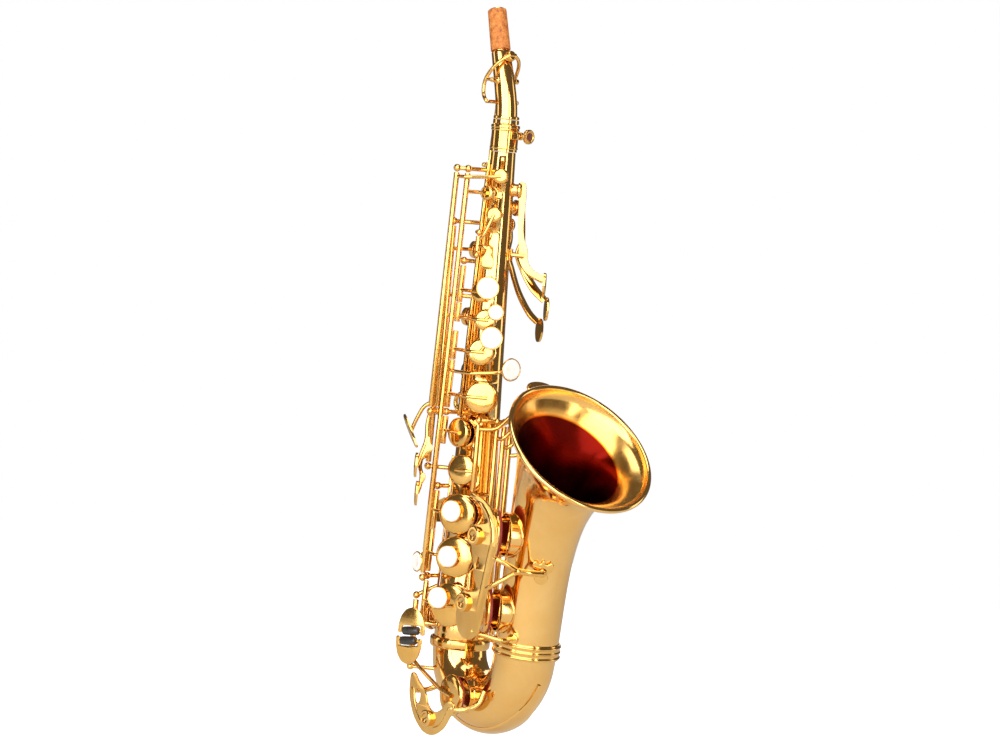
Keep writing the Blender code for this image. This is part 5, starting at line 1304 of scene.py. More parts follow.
def right_posts():
    pieces = [rib(113, 143.2, 301, 3.4)]
    for z in (240.0, 145.5):
        p = stack_point(z)
        pieces += [rod(pol(113, rb(z) + 0.9, z), p, POST_R, 6), ball(p, BALL_R)]
    # double post at the top: the E rod and the F sharp rod hang from one bar
    low_e, high_e = SIDE_RODS["side_e"]
    low_f, high_f = SIDE_RODS["high_fs"]
    pieces += [rod(pol(112, rb(297) + 0.9, 297), high_f, POST_R, 6), ball(high_f, BALL_R),
               rod(high_f, high_e, POST_R, 6), ball(high_e, BALL_R)]
    low_c, high_c = SIDE_RODS["side_c"]
    pieces += [rod(pol(113, rb(264) + 0.9, 264), high_c, POST_R, 6), ball(high_c, BALL_R)]
    low_b, high_b = SIDE_RODS["side_bb"]
    pieces += [rod(pol(114, rb(218) + 0.9, 218), high_b, POST_R, 6), ball(high_b, BALL_R)]
    pieces += [rod(stack_point(145.5), low_c, POST_R, 6), ball(low_c, BALL_R),
               rod(low_c, low_e, POST_R, 6), ball(low_e, BALL_R)]
    # a short rod for the front F key
    lo, hi = FRONT_F_ROD
    for end in (lo, hi):
        z = end.z
        pieces += [wire([pol(112, rb(z) + 0.9, z), pol(96, rb(z) + 5.2, z), end], 1.2, 6),
                   ball(end, 2.0)]
    finish("upper_right_posts", pieces, "brass")
    pieces = [rib(124, 34, 118, 4.0)]
    for key in ("low1", "low2"):
        z = STACK_POSTS[key]
        p = stack_point(z)
        pieces += [rod(pol(122, rb(z) + 0.9, z), p, POST_R, 6), ball(p, BALL_R)]
    pieces += [rod(stack_point(42.3), low_f, POST_R, 6), ball(low_f, BALL_R)]
    pieces += [rod(pol(127, rb(110) + 0.9, 110), low_b, POST_R, 6), ball(low_b, BALL_R)]
    top_pinky = SIDE_RODS["pinky"][1]
    pieces += [rod(pol(126, rb(35) + 0.9, 36), top_pinky, POST_R, 6), ball(top_pinky, BALL_R)]
    finish("lower_right_posts", pieces, "brass")


FRONT_F_ROD = (pol(74, rb(244) + 8.5, 244.5), pol(74, rb(258) + 8.2, 258.5))


def front_posts():
    top = {k: v[1] for k, v in FRONT_RODS.items()}
    low = {k: v[0] for k, v in FRONT_RODS.items()}
    pieces = [rib(0, 5.6, 143.0, 3.8),
              rod(pol(0, rb(140) + 0.9, 141.5), top["low_bb"], POST_R, 6),
              rod(top["g_sharp"], top["low_bb"], POST_R, 6),
              rod(top["low_bb"], top["low_cs"], POST_R, 6)]
    pieces += [ball(p, 2.2) for p in top.values()]
    for key in low:
        z = low[key].z
        pieces += [rod(pol(0, rb(z) + 1.5, z), low[key], POST_R, 6), ball(low[key], 2.2)]
    finish("front_posts", pieces, "brass")


PALMS = {   # cup angle and height, then its touch's height, distance and angle
    "palm_f": (-50, 286.0, 229.2, 32.6, -50), "palm_eb": (-82, 275.0, 213.8, 36.2, -66),
    "palm_d": (-114, 264.0, 199.8, 36.2, -80)}
PALM_Z = 246.0


def palm_pivot(angle):
    return pol(angle, rb(PALM_Z) + 7.6, PALM_Z)


def palm_posts():
    steps = [-129, -112, -94, -76, -58, -40, -32]
    sections = []
    for a in steps:
        inner, outer = rb(PALM_Z) + 0.45, rb(PALM_Z) + 2.0
        sections.append([pol(a, inner, PALM_Z - 3.5), pol(a, outer, PALM_Z - 3.5),
                         pol(a, outer, PALM_Z + 3.5), pol(a, inner, PALM_Z + 3.5)])
    pieces = [sweep(sections)]
    for name, (angle, *rest) in PALMS.items():
        p = palm_pivot(angle)
        t = out(angle + 90)
        n = out(angle)
        for s in (-1, 1):
            foot = p + t * s * 4.1 - n * 6.6
            pieces += [rod(foot, p + t * s * 4.1 + n * 1.6, 1.3, 6)]
    finish("palm_key_posts", pieces, "brass")


# ---------------------------------------------------------------------- keys
def seat(name):
    angle, z, _, radius = HOLES[name]
    point, normal = cup_frame(angle, z)
    return point, normal, radius


def line_at(low, high, z):
    return low.lerp(high, (z - low.z) / (high.z - low.z))


def stack_key(name, node, z0, z1, pearl_at=None, pearl_radius=0, travel=STACK_TRAVEL,
              extra=None, arm_z=None):
    """A key on the stack rod: hinge tube, arm, cup and, if asked, a pearl."""
    low, high = stack_point(z0), stack_point(z1)
    point, normal, radius = seat(name)
    hinge = Hinge(low, high, point, normal, travel, True)
    z = point.z if arm_z is None else arm_z
    base = line_at(low, high, z)
    pieces = [rod(low, high, TUBE_R, 8), cup(point, normal, radius),
              wire(over_arm(base, point, normal, radius), ARM_R, 4)]
    if extra:
        pieces += extra(low, high, point, normal, radius)
    place = None
    if pearl_at:
        centre, facing = pearl_at(point, normal, radius)
        pieces.append(pearl_holder(centre, facing, pearl_radius))
        place = (centre, facing)
    finish(node, pieces, "brass", pivot=hinge.mid, turn=hinge.turn)
    hinge.joint(node)
    if place:
        pearl(node.replace("_key", "") + "_pearl", place[0], place[1], pearl_radius,
              hinge.turn, hinge.mid)


def ahead(angle, z, radius, stem_from=None):
    """Where a pearl stands past its cup: its centre and the way it faces."""
    centre = pol(angle, radius, z)
    return lambda point, normal, r: (centre, out(angle))


def stack_keys():
    def stem(angle, z, radius):
        def build(low, high, point, normal, r):
            end = pol(angle, radius, z)
            n = out(angle)
            start = point + normal * (CUP_HEIGHT + 0.2)
            return [wire([start, end - n * 1.2 + (start - end) * 0.25, end + n * 0.5], 1.2, 6)]
        return build

    stack_key("b", "b_key", 214.2, 237.0, ahead(34, 225.0, rb(224) + 9.4), 6.6,
              extra=stem(34, 225.0, rb(224) + 9.4))
    stack_key("bis", "bis_key", 202.0, 213.8, ahead(19, 210.5, rb(210) + 9.0), 4.6,
              extra=stem(19, 210.5, rb(210) + 9.0))
    stack_key("a", "a_key", 178.5, 196.2, ahead(23, 194.5, rb(193) + 9.8), 6.6,
              extra=stem(23, 194.5, rb(193) + 9.8))

    def g_stem(low, high, point, normal, r):
        # the G pearl stands on a thin arm of its own, round the front
        end = pol(-7, rb(176) + 13.6, 176.0)
        start = line_at(low, high, 172.0)
        path = [start, pol(80, rb(172) + 14.6, 172.0), pol(45, rb(172) + 15.6, 172.0),
                pol(12, rb(173) + 14.0, 173.5), end + out(-7) * 0.5]
        return [wire(path, 1.1, 6)]

    stack_key("g", "g_key", 148.3, 178.1, ahead(-7, 176.0, rb(176) + 13.6), 6.6, extra=g_stem)

    def on_top(back, up):
        def build(point, normal, r):
            side = Vector((0, 0, 1)).cross(normal).normalized()
            side = side if side.x < 0 else -side
            return point + normal * (CUP_HEIGHT - 0.15) + side * back + Vector((0, 0, up)), normal
        return build

    stack_key("fs", "fs_key", 125.5, 142.6)
    stack_key("f", "f_key", 72.0, 96.1, on_top(2.4, 1.6), 6.6)
    stack_key("e", "e_key", 45.2, 71.6, on_top(3.0, 0.2), 6.6)
    stack_key("d", "d_key", 15.4, 39.4, on_top(6.2, 4.0), 6.6)


def touch_plate(centre, normal, up, length, width, thick=1.3):
    """A key touch: a smooth oval pad with a gentle crown."""
    x = up.cross(normal).normalized()
    l, w = length / 2, width / 2
    bm = bmesh.new()
    rows = []
    around = 40
    profile = [(1.0, -0.5), (1.0, 0.1), (0.985, 0.34), (0.93, 0.5), (0.75, 0.62), (0.45, 0.70), (0.2, 0.73)]
    for scale, h in profile:
        row = []
        for i in range(around):
            a = 2 * math.pi * i / around
            ca, sa = math.cos(a), math.sin(a)
            # fuller than an ellipse, slimmer towards its lower end
            px = w * abs(ca) ** 0.82 * (1 if ca > 0 else -1) * (1.0 - 0.10 * (sa < 0) * abs(sa))
            py = l * abs(sa) ** 0.9 * (1 if sa > 0 else -1)
            row.append(bm.verts.new((px * scale, py * scale, h * thick)))
        rows.append(row)
    under = [bm.verts.new((v.co.x * 0.94, v.co.y * 0.97, -0.5 * thick - 0.0)) for v in rows[0]]
    for a_, b_ in zip([under] + rows, rows):
        for i in range(around):
            j = (i + 1) % around
            bm.faces.new((a_[i], a_[j], b_[j], b_[i]))
    top = bm.verts.new((0, 0, 0.74 * thick))
    for i in range(around):
        bm.faces.new((rows[-1][i], rows[-1][(i + 1) % around], top))
    bm.faces.new(under[::-1])
    return put(bm, frame(centre, x, normal.cross(x), normal))


def side_key(name, tube_low, tube_high, arm_z, touch, touch_normal, touch_up, stem, size,
             travel=SIDE_TRAVEL, route=None):
    low, high = SIDE_RODS[name]
    a, b = line_at(low, high, tube_low), line_at(low, high, tube_high)
    point, normal, radius = seat(name)
    hinge = Hinge(a, b, point, normal, travel, False)
    base = line_at(low, high, arm_z)
    path = over_arm(base, point, normal, radius) if route is None else route(base, point, normal, radius)
    pieces = [rod(a, b, TUBE_R - 0.1, 8), cup(point, normal, radius, 3.8, 14),
              wire(path, ARM_R, 4),
              wire([line_at(low, high, stem[0])] + stem[1] + [touch - touch_normal * 0.5], 1.2, 8)]
    return hinge, pieces, (a, b)


def side_keys():
    # high E: long rod, touch hanging behind it
    touch = at(-15.5, 41.0, 132.0)
    tn = at(-0.40, 0.84, -0.36).normalized()
    hinge, pieces, _ = side_key(
        "side_e", 148.3, 294.2, 292.0, touch, tn, None,
        (151.2, [at(-9.8, 36.8, 148.0), at(-12.8, 39.3, 139.5)]), None,
        route=lambda base, p, n, r: [base, at(3.6, 29.5, 292.0), at(8.6, 16.0, 293.0),
                                     p + n * 4.3])
    pieces.append(touch_plate(touch, tn, at(-0.70, 0.0, 0.715), 25.0, 8.0, 1.4))
    finish("side_e_key", pieces, "brass", pivot=hinge.mid)
    hinge.joint("side_e_key")
    # side C: cup behind the stack, touch low on the right
    touch = at(-10.7, 38.0, 111.5)
    tn = at(-0.55, 0.835, 0.0).normalized()

    def web(centre, outline):
        across = at(0.6, -0.8, 0)
        return flat(outline, 1.4, frame(centre, across, Vector((0, 0, 1)), across.cross(Vector((0, 0, 1)))),
                    smooth=True)

    hinge, pieces, _ = side_key(
        "side_c", 148.3, 261.2, 247.0, touch, tn, None,
        (151.5, [at(-12.0, 29.0, 147.0), at(-11.0, 32.0, 138.0), at(-7.6, 33.6, 127.5), at(-9.4, 36.2, 117.0)]),
        None)
    pieces.append(touch_plate(touch, tn, Vector((0, 0, 1)), 15.5, 9.5, 1.5))
    pieces.append(web(touch, [(-0.4, -2.5), (0.3, 3.5), (3.4, 8.5), (4.8, 14.0), (4.6, 17.4), (6.6, 18.2),
                              (8.0, 14.0), (9.3, 12.6), (9.2, 9.4), (7.0, 8.0), (4.0, 4.2), (1.3, -1.5)]))
    finish("side_c_key", pieces, "brass", pivot=hinge.mid)
    hinge.joint("side_c_key")
    # side B flat
    touch = at(-9.0, 37.0, 94.0)
    hinge, pieces, _ = side_key(
        "side_bb", 112.8, 215.2, 205.0, touch, tn, None,
        (117.0, [at(-18.5, 28.5, 115.0), at(-13.5, 33.0, 110.0), at(-8.4, 34.6, 106.0), at(-7.8, 35.4, 99.0)]),
        None)
    pieces.append(touch_plate(touch, tn, Vector((0, 0, 1)), 15.5, 9.5, 1.5))
    pieces.append(web(touch, [(-0.4, -2.0), (0.4, 4.0), (1.6, 8.4), (1.8, 12.0), (3.2, 13.0), (4.6, 11.4),
                              (4.5, 9.0), (3.6, 7.0), (2.6, 5.0), (1.2, 0.4)]))
    finish("side_bb_key", pieces, "brass", pivot=hinge.mid)
    hinge.joint("side_bb_key")
    # high F sharp: the longest rod, with a pearl low down
    pearl_at = at(-9.5, 29.8, 51.0)
    pn = at(-0.12, 1.0, 0.0).normalized()
    hinge, pieces, _ = side_key(
        "high_fs", 44.8, 294.2, 283.0, pearl_at, pn, None,
        (57.0, [at(-8.5, 29.2, 56.0)]), None)
    pieces.append(pearl_holder(pearl_at, pn, 5.9))
    finish("high_fs_key", pieces, "brass", pivot=hinge.mid)
    hinge.joint("high_fs_key")
    pearl("high_fs_pearl", pearl_at, pn, 5.9, None, hinge.mid)
    # front F: a teardrop touch in front of its own short rod
    lo, hi = FRONT_F_ROD
    a, b = line_at(lo, hi, 246.9), line_at(lo, hi, 256.1)
    point, normal, radius = seat("front_f")
    hinge = Hinge(a, b, point, normal, 2.2, False)
    tc = pol(49, rb(241) + 9.0, 242.5)
    tn2 = out(49)
    x = Vector((0, 0, 1)).cross(tn2).normalized()
    drop = flat([(0, -6.4), (3.6, -4.6), (4.2, -1.0), (1.7, 3.6), (0.8, 7.8), (-0.8, 7.8),
                 (-1.7, 3.6), (-4.2, -1.0), (-3.6, -4.6)], 1.3,
                frame(tc, x, Vector((0, 0, 1)), tn2), smooth=True)
    arm_a = line_at(a, b, 254.0)
    pieces = [rod(a, b, 1.6, 10), cup(point, normal, radius, 3.8, 14), drop,
              wire([arm_a, pol(62, rb(258) + 9.0, 256.5), pol(53, rb(263) + 8.2, 264.0),
                    point + normal * 4.2], 1.1, 4),
              wire([line_at(a, b, 250.0), pol(60, rb(248) + 9.0, 250.3), tc + Vector((0, 0, 6.0))], 1.1, 4)]
    finish("front_f_key", pieces, "brass", pivot=hinge.mid)
    hinge.joint("front_f_key")


def palm_keys():
    for name, (angle, zc, zt, rt, ta) in PALMS.items():
        point, normal, radius = seat(name)
        p = palm_pivot(angle)
        t = out(angle + 90)
        hinge = Hinge(p - t * 2.0, p + t * 2.0, point, normal, 2.4, False)
        pieces = [rod(p - t * 2.1, p + t * 2.1, 2.1, 10),
                  cup(point, normal, radius, 2.8 if name == "palm_f" else 3.8, 14)]
        face, up = out(ta), Vector((0, 0, 1))
        if name == "palm_f":
            # the front lever is a deep blade standing on edge
            blade = [(12.6, 291.4), (15.4, 290.6), (16.3, 286.5), (16.5, 272.0), (17.3, 258.5),
                     (20.4, 249.0), (21.4, 242.5), (24.4, 238.2), (29.0, 235.6), (32.2, 234.4),
                     (32.0, 230.6), (27.0, 231.6), (21.6, 234.6), (17.8, 239.0), (15.6, 243.6),
                     (14.8, 250.0), (14.0, 258.0), (12.9, 270.0), (12.3, 281.0)]
            pieces.append(flat(blade, 2.2, frame(at(0, 0, 0), out(angle), up, out(angle).cross(up)),
                               smooth=True))
        elif name == "palm_eb":
            path = [point + normal * 4.2, pol(angle, rb(zc) + 8.6, zc - 3),
                    pol(angle, rb(256) + 9.6, PALM_Z + 9), p, pol(-80, 22.0, 236.0),
                    pol(-73, 28.0, 226.0), pol(-67, 34.8, 219.0)]
            pieces.append(strap(path, (3.2, 3.4, 3.8, 4.4, 5.2, 5.6, 4.6), 2.0, out(angle + 90)))
        else:
            path = [point + normal * 4.2, pol(angle, rb(zc) + 8.6, zc - 3),
                    pol(angle, rb(256) + 9.6, PALM_Z + 9), p, pol(-111, 22.0, 236.0),
                    pol(-98, 24.5, 222.0), pol(-87, 29.5, 210.5), pol(-81, 34.6, 204.6)]
            pieces.append(strap(path, (3.2, 3.4, 3.8, 4.4, 5.2, 5.6, 4.6), 2.0, out(angle + 90)))
        lean = (up + face * 0.12).normalized() if name == "palm_f" else (up + face * -0.1).normalized()
        pieces.append(touch_plate(pol(ta, rt, zt), face, lean, 15.0, 8.4, 1.6))
        finish(name + "_key", pieces, "brass", pivot=p)
        hinge.mid = p
        hinge.joint(name + "_key")


def left_hand_keys():
    """The keys of the left little finger: rods at the front, touches in a table."""
    def table(centre, length=17.0, width=8.5, facing=(0.35, -0.15, 1.0)):
        n = at(*facing).normalized()
        along = at(0.25, -1.0, 0.0).normalized()
        return touch_plate(centre, n, along, length, width, 1.4)

    # G sharp
    lo, hi = FRONT_RODS["g_sharp"]
    a, b = line_at(lo, hi, 99.2), line_at(lo, hi, 140.3)
    point, normal, radius = seat("g_sharp")
    hinge = Hinge(a, b, point, normal, 1.7, False)
    tc = at(29.0, -23.5, 164.6)
    pieces = [rod(a, b, TUBE_R, 8), cup(point, normal, radius),
              wire(over_arm(line_at(lo, hi, 111.0), point, normal, radius), ARM_R, 4),
              wire([line_at(lo, hi, 137.6), at(27.0, 6.5, 138.6), at(30.5, -4.0, 150.0), at(29.5, -14.0, 162.5), tc],
                   1.3, 6), table(tc, 18.5, 13.0, (0.62, 0.1, 0.78))]
    finish("g_sharp_key", pieces, "brass", pivot=hinge.mid)
    hinge.joint("g_sharp_key")

    # low C sharp, on the left of the body
    lo, hi = FRONT_RODS["low_cs"]
    a, b = line_at(lo, hi, 9.6), line_at(lo, hi, 140.3)
    point, normal, radius = seat("low_cs")
    hinge = Hinge(a, b, point, normal, SIDE_TRAVEL, False)
    tc = at(27.5, -25.0, 131.5)
    pieces = [rod(a, b, TUBE_R, 8), cup(point, normal, radius),
              wire(over_arm(line_at(lo, hi, 20.0), point, normal, radius), ARM_R, 4),
              wire([line_at(lo, hi, 122.0), at(27.0, -13.0, 123.0), at(27.5, -19.0, 130.0), tc], 1.3, 6),
              table(tc)]
    finish("low_cs_key", pieces, "brass", pivot=hinge.mid)
    hinge.joint("low_cs_key")

    # low B and low B flat, over the two chimneys on the bell
    for key, arm_z, start_z, tube_low, bend, tc in (
            ("low_b", 32.0, 127.0, 14.6, [at(29.0, -3.5, 128.0), at(30.5, -12.0, 136.0)],
             at(29.0, -24.0, 143.5)),
            ("low_bb", 79.0, 132.5, 60.6, [at(28.6, 1.5, 133.0), at(31.5, -8.0, 144.0)],
             at(30.0, -23.0, 155.5))):
        lo, hi = FRONT_RODS[key]
        a, b = line_at(lo, hi, tube_low), line_at(lo, hi, 140.3)
        c, r = bell_at(BELL_HOLES[key][0])
        normal = out(BELL_SIDE_ANGLE)
        point = c + normal * (r + CHIMNEY_RISE + 0.3 + SEAT_GAP)
        radius = BELL_HOLES[key][2]
        hinge = Hinge(a, b, point, normal, BELL_TRAVEL, True)
        base = line_at(lo, hi, arm_z)
        top = point + normal * (4.6 + 0.5)
        away = (base - point)
        away = (away - normal * away.dot(normal)).normalized()
        path = [base, base.lerp(top + away * radius, 0.55) + normal * 1.5,
                top + away * (radius * 0.8), top - away * radius * 0.3]
        pieces = [rod(a, b, TUBE_R, 8), cup(point, normal, radius, 4.6, 18),
                  wire(path, 1.35, 6),
                  wire([line_at(lo, hi, start_z)] + bend + [tc], 1.3, 6), table(tc)]
        finish(key + "_key", pieces, "brass", pivot=hinge.mid, turn=hinge.turn)
        hinge.joint(key + "_key")


PLATE_X = at(0.89, -0.456, 0)      # along the little finger's two touches
PLATE_N = at(0.456, 0.89, 0)       # the way they face
PLATE_AT = at(-5.6, 34.0, 4.9)


def on_plate(x, y, proud=0.0):
    return PLATE_AT + PLATE_X * x + Vector((0, 0, y)) + PLATE_N * proud


def roller(name, left, right, turn):
    """A roller set in the edge of a touch, and the two pins that carry it."""
    a, b = on_plate(*left, 0.5), on_plate(*right, 0.5)
    line = (b - a).normalized()
    pins = [rod(a - line * 1.3, a - line * 0.3, 0.7, 6), rod(b + line * 0.3, b + line * 1.3, 0.7, 6)]
    mid = (a + b) / 2
    half = (b - a).length / 2
    profile = [(0, half), (2.1, half), (2.55, half - 0.45), (2.72, half * 0.5), (2.76, 0.0),
               (2.72, -half * 0.5), (2.55, 0.45 - half), (2.1, -half), (0, -half)]
    # the cup's pad, made before this, waits for the key that carries it
    waiting = dict(SMALL)
    SMALL.clear()
    finish(name, [lathe(profile, mid, line, 48, 0.3)], "black", pivot=mid, turn=turn)
    SMALL.update(waiting)
    return pins


def little_finger_keys():
    """Low C and E flat, worked by the right little finger."""
    lo, hi = SIDE_RODS["pinky"]
    m = frame(PLATE_AT, PLATE_X, Vector((0, 0, 1)), PLATE_X.cross(Vector((0, 0, 1))))
    # E flat
    a, b = line_at(lo, hi, 7.2), line_at(lo, hi, 26.2)
    point, normal, radius = seat("eb")
    hinge = Hinge(a, b, point, normal, SIDE_TRAVEL, False)
    pieces = [rod(a, b, TUBE_R, 8), cup(point, normal, radius),
              wire(over_arm(line_at(lo, hi, 17.0), point, normal, radius), ARM_R, 4),
              wire([line_at(lo, hi, 16.0), at(-13.0, 31.0, 16.0), on_plate(-3.0, 12.0, -0.3)], 1.3, 6),
              flat([(-9.3, 1.2), (-6.5, 1.2), (-6.5, 5.9), (6.5, 7.1), (6.5, 1.2), (9.3, 1.2),
                    (9.0, 7.0), (7.6, 12.2), (4.6, 16.4), (0.0, 18.2), (-4.6, 16.4), (-7.6, 12.2),
                    (-9.0, 7.0)], 1.5, m)]
    pieces += roller("eb_roller", (-5.4, 2.7), (5.4, 3.9), None)
    finish("eb_key", pieces, "brass", pivot=hinge.mid)
    hinge.joint("eb_key")
    # low C
    a, b = line_at(lo, hi, -13.2), line_at(lo, hi, 6.6)
    normal = at(0, 1, 0)
    point = at(LOW_C[0], 21.2 + SEAT_GAP, LOW_C[1])
    radius = LOW_C[3]
    hinge = Hinge(a, b, point, normal, 3.6, True)
    top = point + normal * 4.9
    pieces = [rod(a, b, TUBE_R, 8), cup(point, normal, radius, 4.4, 18),
              wire([line_at(lo, hi, -10.0), at(-4.0, 26.5, -14.0), top + at(-radius * 0.9, 0, 2.5),
                    top + at(radius * 0.3, 0, 0)], 1.35, 6),
              wire([line_at(lo, hi, -6.0), at(-13.0, 31.0, -6.0), on_plate(-3.0, -11.5, -0.3)], 1.3, 6),
              flat([(-9.3, -0.9), (-9.0, -7.0), (-7.6, -12.2), (-4.6, -16.4), (0.0, -18.2),
                    (4.6, -16.4), (7.6, -12.2), (9.0, -7.0), (9.3, -0.9), (6.5, -0.9), (6.5, -5.6),
                    (-6.5, -6.8), (-6.5, -0.9)], 1.5, m)]
    pieces += roller("low_c_roller", (-5.4, -3.6), (5.4, -2.4), hinge.turn)
    finish("low_c_key", pieces, "brass", pivot=hinge.mid, turn=hinge.turn)
    hinge.joint("low_c_key")


def octave_keys():
    # thumb lever: a long bar down the back, rocking on a cross hinge near the top
    p = pol(180, rb(300) + 5.2, 300.0)
    side = at(0, 1, 0)
    path = [at(-10.6, 0, 341.5), at(-11.4, 0, 326.0), at(-13.0, 0, 312.0), p,
            at(-(rb(285) + 5.6), -1.0, 285.0), at(-(rb(262) + 6.0), -1.4, 262.0),
            at(-(rb(215) + 6.6), -1.4, 215.0), at(-(rb(198) + 8.2), -3.6, 196.0)]
    touch_c = at(-(rb(190) + 8.6), -4.4, 190.0)
    pieces = [wire(path, 1.1, 6), rod(p - side * 2.4, p + side * 2.4, 1.9, 10),
              touch_plate(touch_c, at(-1, -0.1, 0.1), Vector((0, 0, 1)), 19.0, 10.0, 1.6)]
    JOINTS["octave_lever"] = {"pos": vec(p), "axis": [-1, 0, 0], "range": [0, 2.0]}
    finish("octave_lever", pieces, "brass", pivot=p)
    # a saddle carries that hinge
    sections = []
    for a in (150, 165, 180, 195, 210):
        inner, outer = rb(300) + 0.4, rb(300) + 1.8
        sections.append([pol(a, inner, 297.0), pol(a, outer, 297.0), pol(a, outer, 303.0),
                         pol(a, inner, 303.0)])
    posts = [sweep(sections)]
    for s in (-1, 1):
        posts += [rod(p + side * s * 4.2 + at(4.6, 0, 0), p + side * s * 4.2, 1.0, 6),
                  ball(p + side * s * 4.2, 1.6)]
    finish("octave_post", posts, "brass")
    # the body octave key: a short lever over the pip, on a cross hinge
    angle, z = PIP
    n, t = out(angle), out(angle + 90)
    seat_p = pol(angle, rb(z) + 3.0 + SEAT_GAP, z)
    hp = pol(angle, rb(227) + 5.4, 227.0)
    hinge = Hinge(hp - t * 2.0, hp + t * 2.0, seat_p, n, 1.6, False)
    pieces = [rod(hp - t * 2.0, hp + t * 2.0, 1.6, 8), cup(seat_p, n, 3.0, 2.8, 10),
              wire([seat_p + n * 2.8, hp, pol(angle, rb(217) + 5.0, 217.0)], 1.1, 4)]
    finish("body_octave_key", pieces, "brass", pivot=hp)
    hinge.mid = hp
    hinge.joint("body_octave_key")


# ---------------------------------------------------------- guards and trim
WELLS = ((62.0, 77.8), (56.2, 36.2))      # F and z of the guard's two bumpers
# the crescent of the guard, with an ear round each bumper
HOOK, HOOK_RADIUS = (57.0, 75.0), 27.0      # centre and outer radius of the guard's upper hook
FOOT, FOOT_RADIUS = (61.8, 26.8), 12.4      # its rounded lower end
LOBE_RADIUS = 7.1                           # the lobe round each bumper


def arc(centre, radius, start, end, steps, end_radius=None):
    """Points along an arc in degrees, whose radius may taper to end_radius."""
    last = radius if end_radius is None else end_radius
    points = []
    for i in range(steps):
        t = i / (steps - 1)
        a, r = math.radians(start + (end - start) * t), radius + (last - radius) * t
        points.append((centre[0] + r * math.cos(a), centre[1] + r * math.sin(a)))
    return points


def guard_side(z):
    """F of the guard's long outer side, a straight line from the hook down to the foot."""
    top, bottom = (HOOK[0] + HOOK_RADIUS, HOOK[1]), (FOOT[0] + FOOT_RADIUS, FOOT[1])
    return bottom[0] + (top[0] - bottom[0]) * (z - bottom[1]) / (top[1] - bottom[1])


def guard_outline():
    """The guard's edge: the hook, the outer side, the round foot, then a lobe round each bumper."""
    edge = arc(HOOK, HOOK_RADIUS, 97, 0, 8)
    edge += [(guard_side(z), z) for z in (66, 56, 46, 36)]
    edge += arc(FOOT, FOOT_RADIUS, 0, -170, 7)
    edge += arc(WELLS[1], LOBE_RADIUS, 195, 75, 5)
    # the waist between the lobes widens upward from 12 mm
    edge += [(guard_side(z) - 12 - 0.5 * (z - 46.5), z) for z in (46.5, 51.5, 57, 63)]
    edge += arc(WELLS[0], LOBE_RADIUS, 235, 80, 6)
    return edge + arc(HOOK, 18.2, 46, 90, 5, 24.4)


def guard_eye():
    """A small leaning oval hole in the waist, 3.4 mm by 7.4 mm."""
    return [(66.1 + 1.7 * x + 0.4 * y, 61.8 + 3.7 * y) for x, y in arc((0, 0), 1.0, 90, -210, 6)]


def bell_key_guard():
    """The long curved guard over the two bell keys, with its forked foot."""
    r_face = 41.0
    m = frame(at(0, r_face, 0), at(1, 0, 0), Vector((0, 0, 1)), at(0, 1, 0))
    pieces = [flat(guard_outline(), 1.3, m, smooth=True, holes=[guard_eye()])]
    # a forked foot runs to a small shield on the bell
    c, r = bell_at(62.0)
    (c0, r0), (c1, r1) = bell_at(60.0), bell_at(64.0)
    along = (c1 - c0).normalized()
    n0 = out(30)
    n0 = (n0 - along * n0.dot(along)).normalized()
    edge = ((c1 + n0 * r1) - (c0 + n0 * r0)).normalized()
    across = edge.cross(n0).normalized()
    face = across.cross(edge).normalized()
    face = face if face.dot(n0) > 0 else -face
    spot = c + n0 * (r + 1.35)
    shield = [(0, 7.4), (2.0, 5.2), (5.4, 6.4), (6.2, 1.8), (3.6, -0.6), (4.2, -4.4), (0, -7.6),
              (-4.2, -4.4), (-3.6, -0.6), (-6.2, 1.8), (-5.4, 6.4), (-2.0, 5.2)]
    pieces.append(flat(shield, 1.5, frame(spot, across, edge, across.cross(edge)), smooth=True))
    join = at(89.4, 28.0, 60.0)
    pieces += [wire([at(81.6, r_face - 0.2, 66.5), at(87.0, 37.5, 64.5), join], 1.6, 6),
               wire([at(77.4, r_face - 0.2, 48.5), at(84.6, 37.5, 53.0), join], 1.6, 6),
               wire([join + at(-0.6, 3.2, -0.1), join, spot + face * 5.0, spot + face * 0.2], 1.9, 6)]
    return pieces, r_face


